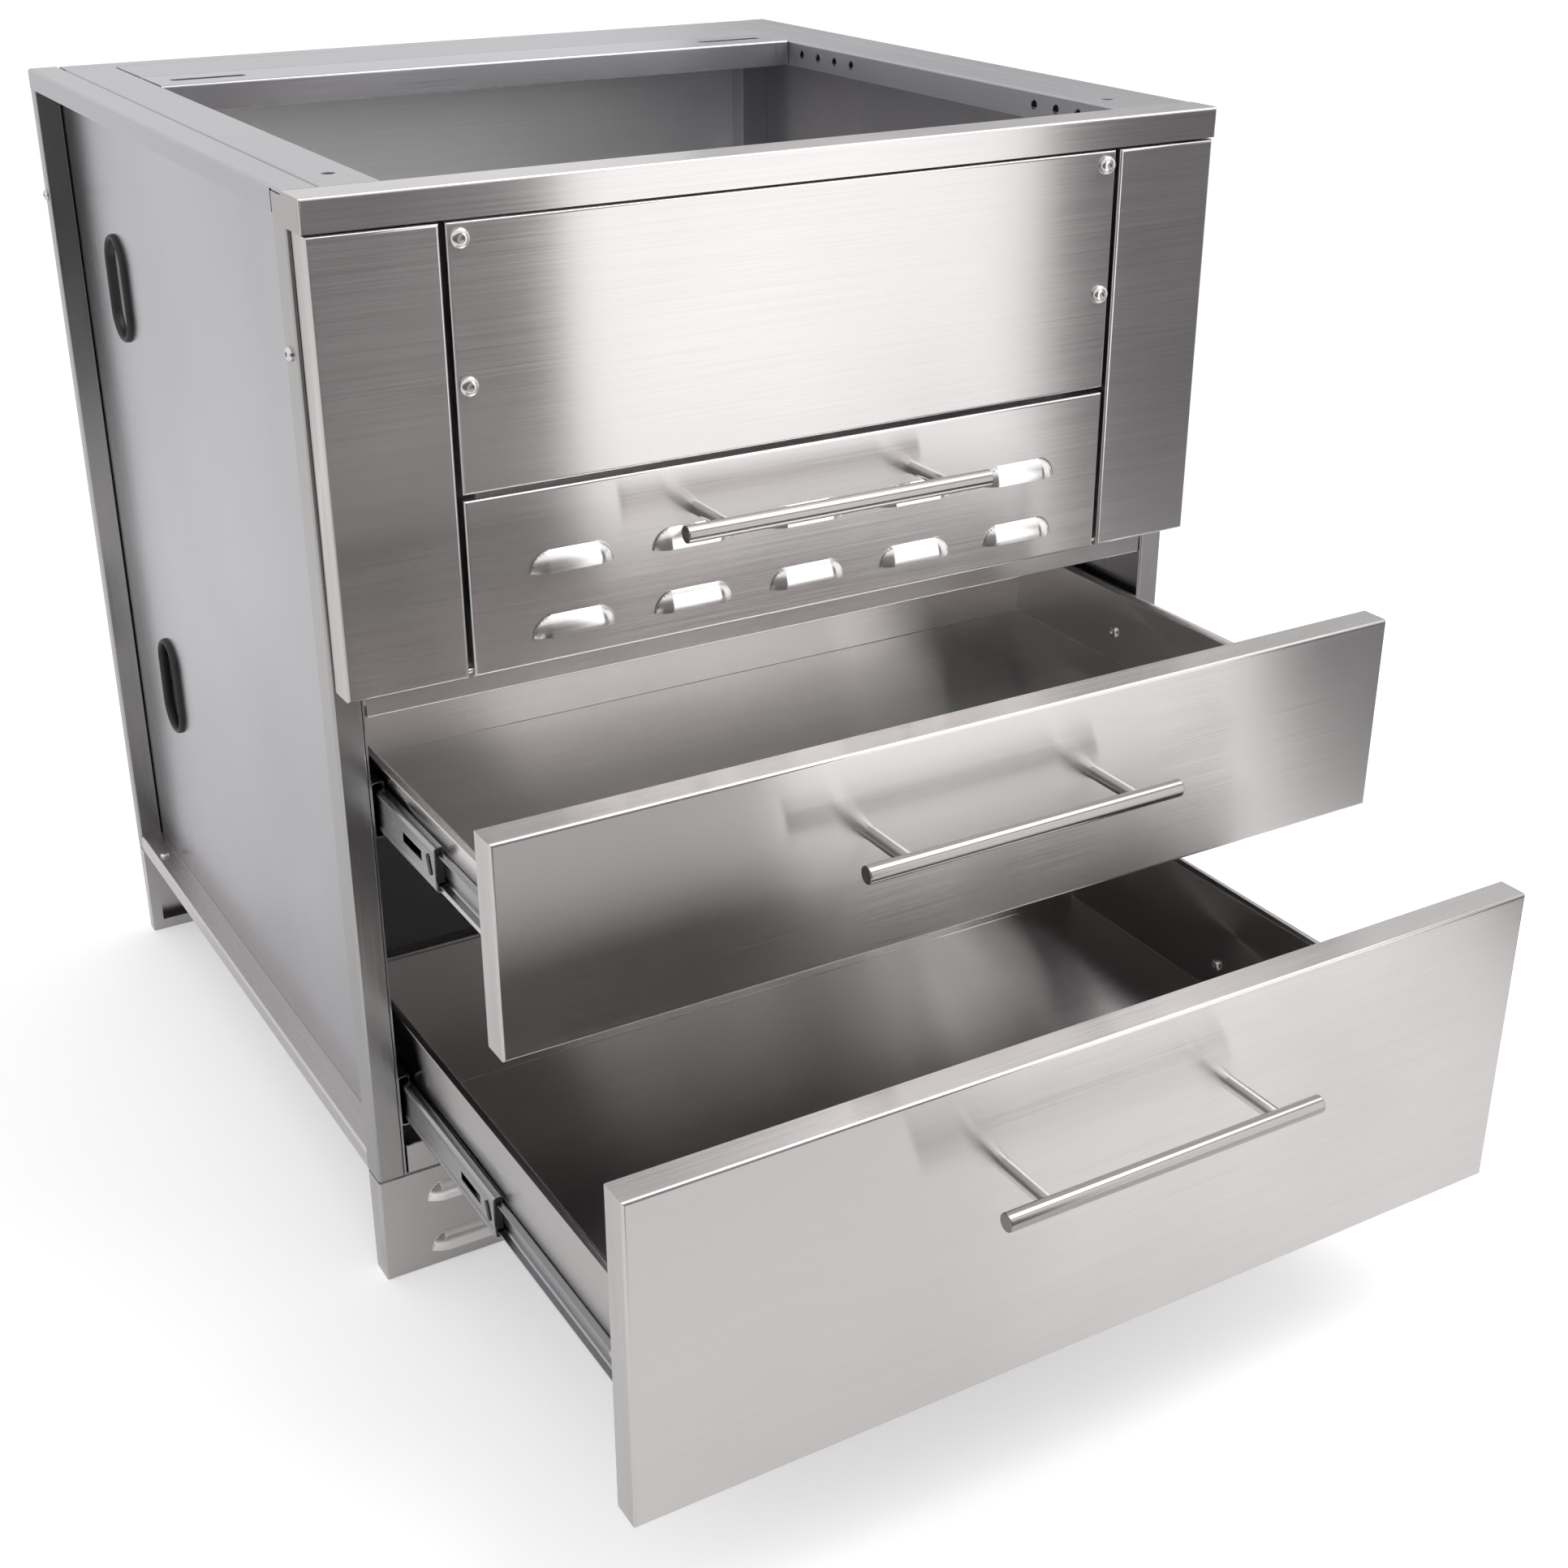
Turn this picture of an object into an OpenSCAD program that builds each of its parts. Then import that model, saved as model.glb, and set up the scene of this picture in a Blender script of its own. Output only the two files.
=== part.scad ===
// Base cabinet for a ceramic kamado grill: a folded stainless-steel carcass with an
// open well for the grill, a drop-down vented door and two drawers on ball-bearing slides.
// X runs from left to right, Y from the front posts to the back, Z up from the floor.
// The origin is on the floor, in the middle of the width, in the plane of the front posts.

/* [Cabinet] */
// Width over the two sides
cab_w = 762; // [700:2:900]
// Height from the floor to the top faces
cab_h = 876.3; // [850:0.1:940]
// Depth from the front posts' faces to the back
cab_d = 694; // [600:1:760]
// Thickness of the folded sheet
sheet = 1.5; // [1:0.1:2]
// Outer radius of the folds that show
fold_r = 2.5; // [2.2:0.1:3]
// How far the top rail and the closed fronts stand ahead of the posts
front_proud = 29; // [26:0.5:40]

/* [Plinth] */
// Height of the front and rear kick plates
plinth_h = 95.5; // [80:0.5:110]
// Depth of the front kick plate's flanges
plinth_flange = 24; // [15:1:40]
// Depth of the rear kick plate's flanges
rear_plinth_d = 15; // [10:1:30]
// Width of the lips round the rear kick plate
rear_plinth_lip = 11; // [6:1:20]

/* [Posts and panels] */
// How far the side panels lie inside the outer faces
side_recess = 22; // [16:0.5:26]
// Depth of the front posts' outer lips
post_lip = 24.5; // [15:0.5:24.5]
// Depth of the rear posts' outer lips
rear_post_d = 15; // [10:0.5:20]
// Width of the rear posts' faces that look forward
rear_return = 19; // [8:0.5:20]
// Distance from the back panel's front face to the back of the cabinet
back_recess = 24; // [18:0.5:26]
// Width of the upright boxes in the well's rear corners
corner_w = 29; // [15:1:60]
// Depth of the upright boxes in the well's rear corners
corner_d = 20; // [10:1:30]
// Height of the bottom side rails
bottom_rail_h = 15; // [10:0.5:25]
// Height of the rail under the lower drawer
low_front_h = 27; // [20:1:28]
// Depth of the well, from the top faces down to the shelf that the grill stands on
well_depth = 351.3; // [316:0.1:370]
// Thickness of the shelf
shelf_t = 2; // [1.5:0.1:3]
// Depth of the shelf's folded edges and of the rail in front of them
shelf_flange = 25; // [20:1:27]

/* [Top frame] */
// Height of the skirts round the top rails
top_skirt = 23.3; // [18:0.1:28]
// How far the front top rail runs back behind the posts' faces
opening_front = 5; // [4:0.5:12]
// Distance from the cabinet's outer face to the well's side
opening_side = 71; // [60:1:90]
// Width of the outer rim strips
rim_w = 26.5; // [24.5:0.5:30]
// Height of the rims' outer lips
rim_lip = 17.3; // [10:0.1:18]
// Width of the groove between a rim and its top rail
groove_w = 1.2; // [0.8:0.1:2]
// Width of the seams between the rear strips
seam_w = 0.9; // [0.4:0.1:0.9]
// Width of the slotted rail at the well's back
slot_rail_w = 60; // [40:1:80]
// Width of the plain strip behind the slotted rail
filler_w = 82.7; // [50:0.1:120]
// Length of the two slots in the slotted rail, end to end
slot_len = 67.5; // [30:0.5:90]
// Width of the two slots in the slotted rail
slot_w = 11; // [8:0.5:16]
// Distance from the well's sides to the middles of the two slots
slot_side = 50.5; // [48:0.5:120]
// Diameter of the clearance holes over the threaded nuts
nut_hole_d = 9.8; // [9.2:0.1:12]
// Bore of the threaded nuts, on the crests of the thread
nut_bore_d = 8.5; // [6:0.1:9]
// Outer diameter of the threaded nuts
nut_d = 16; // [14:1:22]
// Length of the threaded nuts
nut_len = 8; // [5:0.5:14]
// Distance of the threaded nuts behind the posts' faces
nut_y = 50; // [30:1:120]
// Diameter of the holes in the well's side skirts
row_hole_d = 8; // [5:0.5:10]
// Distance from hole to hole in those rows
row_pitch = 30; // [20:1:32]
// Distance from the well's ends to the nearest hole of a row
row_end = 25; // [15:1:40]
// Number of holes in a row
row_count = 4; // [2:1:5]

/* [Upper fronts] */
// Inset of the fronts from the cabinet's outer faces
front_inset = 2.5; // [1:0.5:5]
// Gap between neighbouring upper fronts
face_gap = 4; // [3:0.5:6]
// Gap between the upper fronts and the front top rail
top_gap = 1.5; // [1:0.5:3]
// Gap between the upper fronts' back edges and the posts
panel_gap = 2.2; // [1.8:0.1:3]
// Width of the two side fronts
side_face_w = 93; // [80:1:120]
// Height of the vented door
door_h = 133; // [120:1:140]
// Width of the inner lips behind the fixed fronts
face_lip = 18; // [16:1:20]
// Width of the two uprights behind the fronts
upright_w = 35; // [32:1:40]
// Depth of the uprights' side flanges
upright_d = 22; // [10:1:30]
// Distance of the screws from the middle front's side edges
screw_edge = 9.4; // [8:0.1:10]
// Distance of the upper screws from the middle front's top edge
screw_top = 11; // [9:0.5:16]
// Distance from the upper to the lower screws
screw_pitch = 101; // [60:1:120]
// Thread diameter of the middle front's screws
screw_d = 8; // [6:0.5:8]

/* [Louvres] */
// Width of a louvre from tip to tip
louvre_w = 66.5; // [50:0.5:70]
// Height of a louvre
louvre_h = 16; // [12:0.5:18]
// How far a louvre stands out of its plate
louvre_proud = 6; // [5:0.5:7]
// Distance from louvre to louvre in the door
door_louvre_pitch = 100.3; // [80:0.1:110]
// Height of the door's lower louvres above its bottom edge
door_louvre_z = 20.5; // [16:0.5:24]
// Distance between the two rows in the door and in the kick plate
louvre_rows = 50; // [40:1:52]
// Distance from louvre to louvre in the front kick plate
plinth_louvre_pitch = 102.8; // [80:0.1:104]
// Height of the kick plate's lower louvres above the floor
plinth_louvre_z = 15; // [10:0.5:20]

/* [Door] */
// Distance of the door's hinge pins from its front face and from its bottom edge
pivot_in = 4.5; // [4.2:0.1:5]
// Diameter of the door's hinge pins
pivot_d = 4; // [3:0.1:4.2]
// Gap between the closed door's back edges and the uprights
door_rest_gap = 0.8; // [0.6:0.1:0.9]
// Width of the magnetic catches
catch_w = 13; // [8:1:13]
// Height of the magnetic catches
catch_h = 16; // [10:1:24]

/* [Drawers] */
// Height of the upper drawer's front; the lower one takes the rest
upper_front_h = 159.5; // [140:0.5:180]
// Gap between neighbouring drawer fronts
drawer_gap = 3.3; // [3:0.1:6]
// Gap between the lower drawer's front and the cabinet's floor
low_gap = 7.9; // [4:0.1:12]
// Depth of the hollow drawer fronts
drawer_front_d = 24.5; // [18:0.5:25]
// Sheet thickness of the drawers' boxes and linings
box_sheet = 1.5; // [1:0.1:1.7]
// Height of a drawer's floor above the bottom of its front
box_rise = 33; // [31:0.5:38]
// Inner depth of the upper drawer
upper_box_d = 407; // [380:1:440]
// Inner depth of the lower drawer
lower_box_d = 466; // [420:1:500]
// Inner height of the upper drawer's sides
upper_side_h = 65.4; // [55:0.1:69]
// Inner height of the lower drawer's sides
lower_side_h = 102.5; // [60:0.5:120]
// How far a drawer's back wall stands above its sides
back_rise = 30.5; // [10:0.5:31]
// Width of the flange along the top of a drawer's sides
hem_w = 7.5; // [5:0.5:9]
// Depth of the flange along the top of a drawer's back wall
back_hem = 14; // [8:1:20]
// How far the upper drawer stands open at rest
upper_open = 247; // [0:1:250]
// How far the lower drawer stands open at rest
lower_open = 418; // [0:1:430]

/* [Slides] */
// Width of a slide, from the side panel to the drawer
slide_w = 12.7; // [12.7:0.1:14]
// Height of the cabinet members
slide_h = 45.7; // [44:0.1:48]
// Height of the middle members
slide_mid_h = 36; // [34:0.5:37]
// Height of the drawer members
slide_in_h = 25.7; // [22:0.1:27]
// Sheet thickness of the slide members
slide_t = 1.2; // [1:0.1:1.3]
// Running gap between the slide members
slide_gap = 0.3; // [0.2:0.05:0.4]
// Height of a slide's middle above the bottom of its drawer's front
slide_rise = 60; // [58:0.5:62]
// Length of the upper drawer's slides
upper_slide_len = 406; // [350:1:430]
// Length of the lower drawer's slides
lower_slide_len = 457; // [400:1:480]
// Distance of the closed middle members behind the posts' faces
mid_setback = 4; // [2:0.5:10]
// Travel of the upper middle members for each millimetre of the drawer
upper_mid_share = 0.464; // [0.4:0.001:0.5]
// Travel of the lower middle members for each millimetre of the drawer
lower_mid_share = 0.4315; // [0.4:0.0001:0.5]
// Distance of the drawer bolts behind the drawer's front face, front pair
bolt_front = 94; // [70:1:110]
// Distance from the front pair of drawer bolts to the rear pair
bolt_pitch = 192; // [128:32:224]

/* [Handles] */
// Diameter of the handle bars
bar_d = 13.4; // [10:0.1:16]
// Length of the handle bars
bar_len = 267; // [220:1:320]
// Chamfer on the bars' ends
bar_chamfer = 0.8; // [0.4:0.1:1.5]
// Diameter of the handle posts
post_d = 10.8; // [8:0.1:12]
// Distance between a handle's two posts
post_pitch = 194; // [128:1:200]
// Distance from a front's face to the middle of its bar
bar_reach = 51.5; // [35:0.5:52]
// Distance of the door's handle below the door's top edge
door_bar_drop = 34.7; // [30:0.1:42]
// Distance of the upper drawer's handle below its top edge
upper_bar_drop = 63.4; // [50:0.1:80]
// Distance of the lower drawer's handle below its top edge
lower_bar_drop = 73.5; // [50:0.1:120]

/* [Cable openings] */
// Height of the clear opening in a grommet
grommet_len = 85; // [60:1:100]
// Width of the clear opening in a grommet
grommet_w = 43; // [30:1:50]
// How far a grommet's flange covers the panel round its hole
grommet_flange = 5; // [3:0.5:8]
// How far a grommet stands out of the panel
grommet_proud = 5; // [3:0.5:7]
// Distance from the middles of the cable openings to the back of the cabinet
grommet_back = 145; // [110:1:200]
// Height of the middle of the upper cable openings
grommet_z_high = 705; // [640:1:740]
// Height of the middle of the lower cable openings
grommet_z_low = 325; // [260:1:400]

/* [Small screws] */
// Thread diameter of the screws in the posts' outer lips
side_screw_d = 6; // [4:0.5:7]
// Distance of the screws in the posts' outer lips below the top faces
side_screw_drop = 109.8; // [80:0.1:150]
// Thread diameter of the screws in the bottom side rails
ledge_screw_d = 5; // [4:0.5:6]
// Distance of the screws in the bottom side rails from the cabinet's outer face
ledge_screw_x = 9; // [8:0.5:11]
// Distance from the screws in the bottom side rails to the back of the cabinet
ledge_screw_back = 70; // [30:1:200]

/* [Hidden] */
$fn = 48;

// Main planes of the carcass
half = cab_w / 2;
side_out = half - side_recess;
side_in = side_out - sheet;
frame_z = plinth_h + sheet;
under_top = cab_h - sheet;
skirt_z = cab_h - top_skirt;
rim_z = cab_h - rim_lip;
back_y = cab_d - back_recess;
fold_in = fold_r - sheet;
edge_r = 1;
over = 1;
base_inset = 2;
rail_end_gap = 2;
post_top_gap = 1.3;
rim_start = post_lip + 1.5;
rear_rim_y = back_y - sheet;
opening_back = rear_rim_y - 2 * seam_w - filler_w - slot_rail_w;
well_half = half - opening_side;
slot_x = well_half - slot_side;
rail_out = half - rim_w - groove_w;
nut_x = (rail_out + well_half) / 2;
shelf_z = cab_h - well_depth;
shelf_under = shelf_z - shelf_t;
flange_w = 20;
filler_skirt = 18;
lip_screw_share = 0.62;
side_screw_z = cab_h - side_screw_drop;
ledge_screw_y = cab_d - ledge_screw_back;
grommet_y = cab_d - grommet_back;

// Planes of the fronts
front_y = -front_proud;
panel_back = -panel_gap;
face_top = skirt_z - top_gap;
side_face_in = half - front_inset - side_face_w;
middle_half = side_face_in - face_gap;
door_top = shelf_z + door_h;
middle_bottom = door_top + face_gap;
upright_out = middle_half - screw_edge + upright_w * 0.7;
upright_in = upright_out - upright_w;
screw_x = middle_half - screw_edge;
screw_z_high = face_top - screw_top;
screw_z_low = screw_z_high - screw_pitch;
screw_play = 0.3;
door_back = panel_back - door_rest_gap;
pivot_y = front_y + pivot_in;
pivot_z = shelf_z + pivot_in;
pivot_play = 0.05;
catch_top_gap = 8;
catch_play = 0.3;

// Planes of the drawers
front_half = half - front_inset;
upper_top = shelf_z - drawer_gap;
upper_bottom = upper_top - upper_front_h;
lower_top = upper_bottom - drawer_gap;
lower_bottom = frame_z + low_gap;
upper_y = front_y - upper_open;
lower_y = front_y - lower_open;
box_half = side_in - slide_w;
bolt_d = 5;
bolt_head_d = 12;
bolt_head_h = 3;
bolt_play = 0.2;
bolt_tip = 0.8;

// A slide's members, measured from the side panel towards the drawer
slide_start = 2;
mid_web_x = 3.3;
runner_lip = 6.8;
mid_end_x = slide_w - 1.7;
rail_end_x = slide_w - 2.1;
mid_shorter = 6;
runner_start = 1;
window_len = 36;
window_h = 8;
window_back = 27;
stop_len = 12;
stop_slant = 16;
stop_w = 5;

// Handle parts
stud_d = 6;
stud_len = 8;
nut_t = 4;
nut_across = 11;
stud_play = 0.2;

// Louvre dome: its radius follows from its height and how far it stands out
dome_r = (louvre_proud * louvre_proud + louvre_h * louvre_h) / (2 * louvre_proud);
dome_back = dome_r - louvre_proud;
dome_x = louvre_w / 2 - louvre_h;
door_columns = 5;
plinth_columns = 7;

// A box between two opposite corners
module block(x0, x1, y0, y1, z0, z1) {
  translate([x0, y0, z0]) cube([x1 - x0, y1 - y0, z1 - z0]);
}

// A flat rectangle between two opposite corners
module plate(a0, a1, b0, b1) {
  translate([a0, b0]) square([a1 - a0, b1 - b0]);
}

// Extrudes a (Y, Z) profile along X
module along_x(x0, x1) {
  translate([x0, 0, 0]) rotate([90, 0, 90]) linear_extrude(x1 - x0) children();
}

// Extrudes an (X, Z) profile along Y
module along_y(y0, y1) {
  translate([0, y1, 0]) rotate([90, 0, 0]) linear_extrude(y1 - y0) children();
}

// Extrudes an (X, Y) profile along Z
module along_z(z0, z1) {
  translate([0, 0, z0]) linear_extrude(z1 - z0) children();
}

// Both the left and the right copy of a shape
module both_sides() {
  children();
  mirror([1, 0, 0]) children();
}

// What is cut from a square corner at (a, b) to round it; sa and sb point into the plate
module corner_cut(a, b, sa, sb, r) {
  difference() {
    plate(min(a, a + sa * r), max(a, a + sa * r), min(b, b + sb * r), max(b, b + sb * r));
    translate([a + sa * r, b + sb * r]) circle(r);
  }
}

// A rectangle whose corners can each be rounded: radii for low-low, high-low, high-high, low-high
module soft_plate(a0, a1, b0, b1, r) {
  difference() {
    plate(a0, a1, b0, b1);
    if (r[0] > 0) corner_cut(a0, b0, 1, 1, r[0]);
    if (r[1] > 0) corner_cut(a1, b0, -1, 1, r[1]);
    if (r[2] > 0) corner_cut(a1, b1, -1, -1, r[2]);
    if (r[3] > 0) corner_cut(a0, b1, 1, -1, r[3]);
  }
}

// A block whose four edges round its front face are rounded
module front_block(x0, x1, y0, y1, z0, z1, r) {
  intersection() {
    along_x(x0, x1) soft_plate(y0, y1, z0, z1, [r, 0, 0, r]);
    along_z(z0, z1) soft_plate(x0, x1, y0, y1, [r, r, 0, 0]);
  }
}

// A folded front, open at the back, with inner lips of a given width
module tray(x0, x1, y0, y1, z0, z1, lip) {
  difference() {
    front_block(x0, x1, y0, y1, z0, z1, fold_r);
    if (lip > 0) {
      front_block(x0 + sheet, x1 - sheet, y0 + sheet, y1 - sheet, z0 + sheet, z1 - sheet, fold_in);
      block(x0 + lip, x1 - lip, y1 - sheet - over, y1 + over, z0 + lip, z1 - lip);
    } else {
      front_block(x0 + sheet, x1 - sheet, y0 + sheet, y1 + over, z0 + sheet, z1 - sheet, fold_in);
    }
  }
}

// An upturned channel along Y that hangs from the top face, with skirts on both edges
module top_channel(x0, x1, y0, y1, z_left, z_right, r_left, r_right) {
  along_y(y0, y1) difference() {
    soft_plate(x0, x1, min(z_left, z_right), cab_h, [0, 0, r_right, r_left]);
    plate(x0 + sheet, x1 - sheet, min(z_left, z_right) - over, under_top);
    if (z_left > z_right) plate(x0 - over, x0 + sheet + over, z_right - over, z_left);
    if (z_right > z_left) plate(x1 - sheet - over, x1 + over, z_left - over, z_right);
  }
}

// The space of louvres in a row, standing out of the plane y = y0, for a dome of radius r
module louvre_row(count, pitch, y0, z0, r, depth) {
  for (i = [0 : count - 1]) translate([(i - (count - 1) / 2) * pitch, y0, z0]) {
    intersection() {
      union() {
        translate([-dome_x, dome_back, 0]) rotate([0, 90, 0]) cylinder(h = 2 * dome_x, r = r);
        for (s = [-1, 1]) translate([s * dome_x, dome_back, 0]) sphere(r);
      }
      block(-louvre_w, louvre_w, -louvre_proud - over, depth, 0, louvre_h + over);
    }
  }
}

// Cuts and adds two rows of louvres in a plate whose outer face is the plane y = y0
module with_louvres(count, pitch, y0, z0) {
  difference() {
    union() {
      children();
      for (row = [0, 1]) louvre_row(count, pitch, y0, z0 + row * louvre_rows, dome_r, sheet / 2);
    }
    for (row = [0, 1]) {
      louvre_row(count, pitch, y0, z0 + row * louvre_rows, dome_r - sheet, sheet + 0.2);
    }
  }
}

// A screw with a domed head; the head's seat is the plane z = 0 and the head points up
module button_screw(d, head_d, head_h, socket_d, shank) {
  difference() {
    union() {
      rotate_extrude() intersection() {
        plate(0, head_d / 2, 0, head_h);
        translate([0, head_h - head_d * 0.62]) circle(head_d * 0.62);
      }
      translate([0, 0, -shank]) cylinder(h = shank, d = d);
    }
    translate([0, 0, head_h * 0.4]) cylinder(h = head_h, d = socket_d, $fn = 6);
  }
}

// An upright stadium, w wide and len high, centred on the origin
module stadium(w, len) {
  plate(-w / 2, w / 2, -(len - w) / 2, (len - w) / 2);
  for (s = [-1, 1]) translate([0, s * (len - w) / 2]) circle(w / 2);
}

// Front kick plate with its flanges and louvres
module front_plinth() {
  color("#c9c7c8") with_louvres(plinth_columns, plinth_louvre_pitch, 0, plinth_louvre_z) {
    difference() {
      block(-half, half, 0, plinth_flange, 0, plinth_h);
      block(-half + sheet, half - sheet, sheet, plinth_flange + over, sheet, plinth_h - sheet);
    }
  }
}

// Rear kick plate: a tray that opens forward, with lips round its opening
module rear_plinth() {
  y0 = cab_d - rear_plinth_d;
  color("#c2c0c1") difference() {
    block(-half, half, y0, cab_d, 0, plinth_h);
    block(-half + sheet, half - sheet, y0 + sheet, cab_d - sheet, sheet, plinth_h - sheet);
    block(
      -half + rear_plinth_lip, half - rear_plinth_lip,
      y0 - over, y0 + sheet + over,
      rear_plinth_lip, plinth_h - rear_plinth_lip
    );
  }
}

// Floor of the cabinet, on which the posts, panels and bottom rails stand
module base_panel() {
  color("#a9a7a8") block(
    -half + base_inset, half - base_inset, base_inset, cab_d - base_inset, plinth_h, frame_z
  );
}

// Front post: a channel that opens backwards and covers the side panel's front edge
module front_post() {
  color("#b5aeac") difference() {
    along_z(frame_z, under_top) difference() {
      soft_plate(-half, -side_out, 0, post_lip, [fold_r, 0, 0, 0]);
      soft_plate(-half + sheet, -side_out - sheet, sheet, post_lip + over, [fold_in, 0, 0, 0]);
    }
    block(-half - over, -side_out + over, -over, opening_front, skirt_z, cab_h);
    block(
      -half - over, -side_out - sheet - over,
      opening_front - over, post_lip + over,
      under_top - post_top_gap, cab_h
    );
    translate([-half, post_lip * lip_screw_share, side_screw_z]) rotate([0, 90, 0]) {
      cylinder(h = 4 * sheet, r = side_screw_d / 2 + screw_play, center = true);
    }
  }
}

module front_post_left() {
  front_post();
}

module front_post_right() {
  mirror([1, 0, 0]) front_post();
}

// Rear post: a channel that opens inwards, with a narrow face looking forward
module rear_post() {
  y0 = cab_d - rear_post_d;
  color("#8f8c8e") difference() {
    along_z(frame_z, rim_z) difference() {
      soft_plate(-half, -side_out, y0, cab_d, [edge_r, 0, 0, edge_r]);
      plate(-half + sheet, -side_out + over, y0 + sheet, cab_d - sheet);
      plate(-half + rear_return, -side_out + over, y0 - over, y0 + sheet + over);
    }
    translate([-half, cab_d - rear_post_d / 2, side_screw_z]) rotate([0, 90, 0]) {
      cylinder(h = 4 * sheet, r = side_screw_d / 2 + screw_play, center = true);
    }
  }
}

module rear_post_left() {
  rear_post();
}

module rear_post_right() {
  mirror([1, 0, 0]) rear_post();
}

// Bottom side rail: an outer lip and a ledge that runs in to the side panel
module bottom_rail() {
  color("#b3acaa") difference() {
    along_y(post_lip, cab_d - rear_post_d) difference() {
      soft_plate(-half, -side_out, frame_z, frame_z + bottom_rail_h, [0, 0, 0, fold_r]);
      plate(-half + sheet, -side_out + over, frame_z - over, frame_z + bottom_rail_h - sheet);
    }
    translate([-half + ledge_screw_x, ledge_screw_y, frame_z]) {
      cylinder(h = bottom_rail_h + over, r = ledge_screw_d / 2 + screw_play);
    }
  }
}

module bottom_rail_left() {
  bottom_rail();
}

module bottom_rail_right() {
  mirror([1, 0, 0]) bottom_rail();
}

// A front cross rail: a channel that opens backwards between the two side panels
module cross_rail(z0, z1) {
  x1 = side_in - rail_end_gap;
  along_x(-x1, x1) difference() {
    soft_plate(0, flange_w, z0, z1, [edge_r, 0, 0, edge_r]);
    plate(sheet, flange_w + over, z0 + sheet, z1 - sheet);
  }
}

// Rail under the lower drawer
module low_front_rail() {
  color("#bdb9b8") cross_rail(frame_z, frame_z + low_front_h);
}

// Rail between the upper drawer and the grill well, under the shelf's front edge
module mid_front_rail() {
  color("#6b6867") cross_rail(shelf_under - shelf_flange, shelf_under);
}

// Side panel, with the two cable openings, notched for the front top rail
module side_panel() {
  color("#bdbac0") difference() {
    block(-side_out, -side_in, 0, cab_d, frame_z, under_top);
    block(-side_out - over, -side_in + over, -over, opening_front, skirt_z, cab_h);
    for (z = [grommet_z_low, grommet_z_high]) {
      translate([0, grommet_y, z]) along_x(-side_out - over, -side_in + over) {
        stadium(grommet_w + 2 * sheet, grommet_len + 2 * sheet);
      }
    }
  }
}

module side_panel_left() {
  side_panel();
}

module side_panel_right() {
  mirror([1, 0, 0]) side_panel();
}

// Back panel, set in from the back of the cabinet
module back_panel() {
  color("#8d8d8f") block(-side_in, side_in, back_y, back_y + sheet, frame_z, rim_z);
}

// Shelf that carries the grill, with folded edges at the sides and back
module grill_shelf() {
  z0 = shelf_under - shelf_flange;
  y0 = flange_w + rail_end_gap;
  color("#8f8f92") union() {
    block(-side_in, side_in, 0, back_y, shelf_under, shelf_z);
    block(-side_in, side_in, back_y - shelf_t, back_y, z0, shelf_z);
    for (s = [-1, 1]) block(
      min(s * side_in, s * (side_in - shelf_t)), max(s * side_in, s * (side_in - shelf_t)),
      y0, back_y, z0, shelf_z
    );
  }
}

// Upright angle that boxes in a rear corner of the well
module corner_box() {
  x1 = -side_in + corner_w;
  color("#87878a") along_z(shelf_z, skirt_z) difference() {
    soft_plate(-side_in, x1, back_y - corner_d, back_y, [0, edge_r, 0, 0]);
    plate(-side_in - over, x1 - sheet, back_y - corner_d + sheet, back_y + over);
  }
}

module corner_box_left() {
  corner_box();
}

module corner_box_right() {
  mirror([1, 0, 0]) corner_box();
}

// Upright behind the joint between the side front and the middle front
module upright() {
  color("#77777a") difference() {
    union() {
      block(-upright_out, -upright_in, panel_back, panel_back + sheet, shelf_z, under_top);
      for (x = [-upright_out, -upright_in - sheet]) {
        block(x, x + sheet, panel_back, upright_d, shelf_z, skirt_z);
      }
    }
    for (z = [screw_z_low, screw_z_high]) {
      translate([-screw_x, panel_back, z]) rotate([90, 0, 0]) {
        cylinder(h = 4 * sheet, r = screw_d / 2 + screw_play / 3, center = true);
      }
    }
  }
}

module upright_left() {
  upright();
}

module upright_right() {
  mirror([1, 0, 0]) upright();
}

// Front top rail: an upturned channel across the whole width with closed ends
module front_top_rail() {
  color("#c4c2c1") difference() {
    front_block(-half, half, front_y, opening_front, skirt_z - fold_r, cab_h, fold_r);
    block(-half - over, half + over, front_y - over, opening_front + over, 0, skirt_z);
    block(
      -half + sheet, half - sheet,
      front_y + sheet, opening_front - sheet,
      skirt_z - over, under_top
    );
  }
}

// Outer rim: the strip over the side recess, with an outer lip and an inner skirt
module rim() {
  color("#c6c4c8") difference() {
    top_channel(-half, -half + rim_w, opening_front, cab_d, rim_z, rim_z, fold_r, 0);
    block(
      -half - over, -half + sheet + over,
      opening_front - over, rim_start,
      rim_z - over, under_top
    );
  }
}

module rim_left() {
  rim();
}

module rim_right() {
  mirror([1, 0, 0]) rim();
}

// Middles of the two rows of holes in the skirt beside the well
function row_ys() = [
  for (i = [0 : row_count - 1]) opening_front + row_end + i * row_pitch,
  for (i = [0 : row_count - 1]) opening_back - row_end - i * row_pitch
];

// Top rail beside the well, with its skirts, its nut hole and its two rows of holes
module top_rail() {
  color("#cbc9cd") difference() {
    top_channel(-rail_out, -well_half, opening_front, rear_rim_y, skirt_z, skirt_z, 0, fold_r);
    translate([-nut_x, nut_y, 0]) cylinder(h = cab_h + over, d = nut_hole_d);
    for (y = row_ys()) {
      translate([-well_half, y, cab_h - top_skirt / 2]) rotate([0, 90, 0]) {
        cylinder(h = 4 * sheet, d = row_hole_d, center = true);
      }
    }
  }
}

module top_rail_left() {
  top_rail();
}

module top_rail_right() {
  mirror([1, 0, 0]) top_rail();
}

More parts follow.
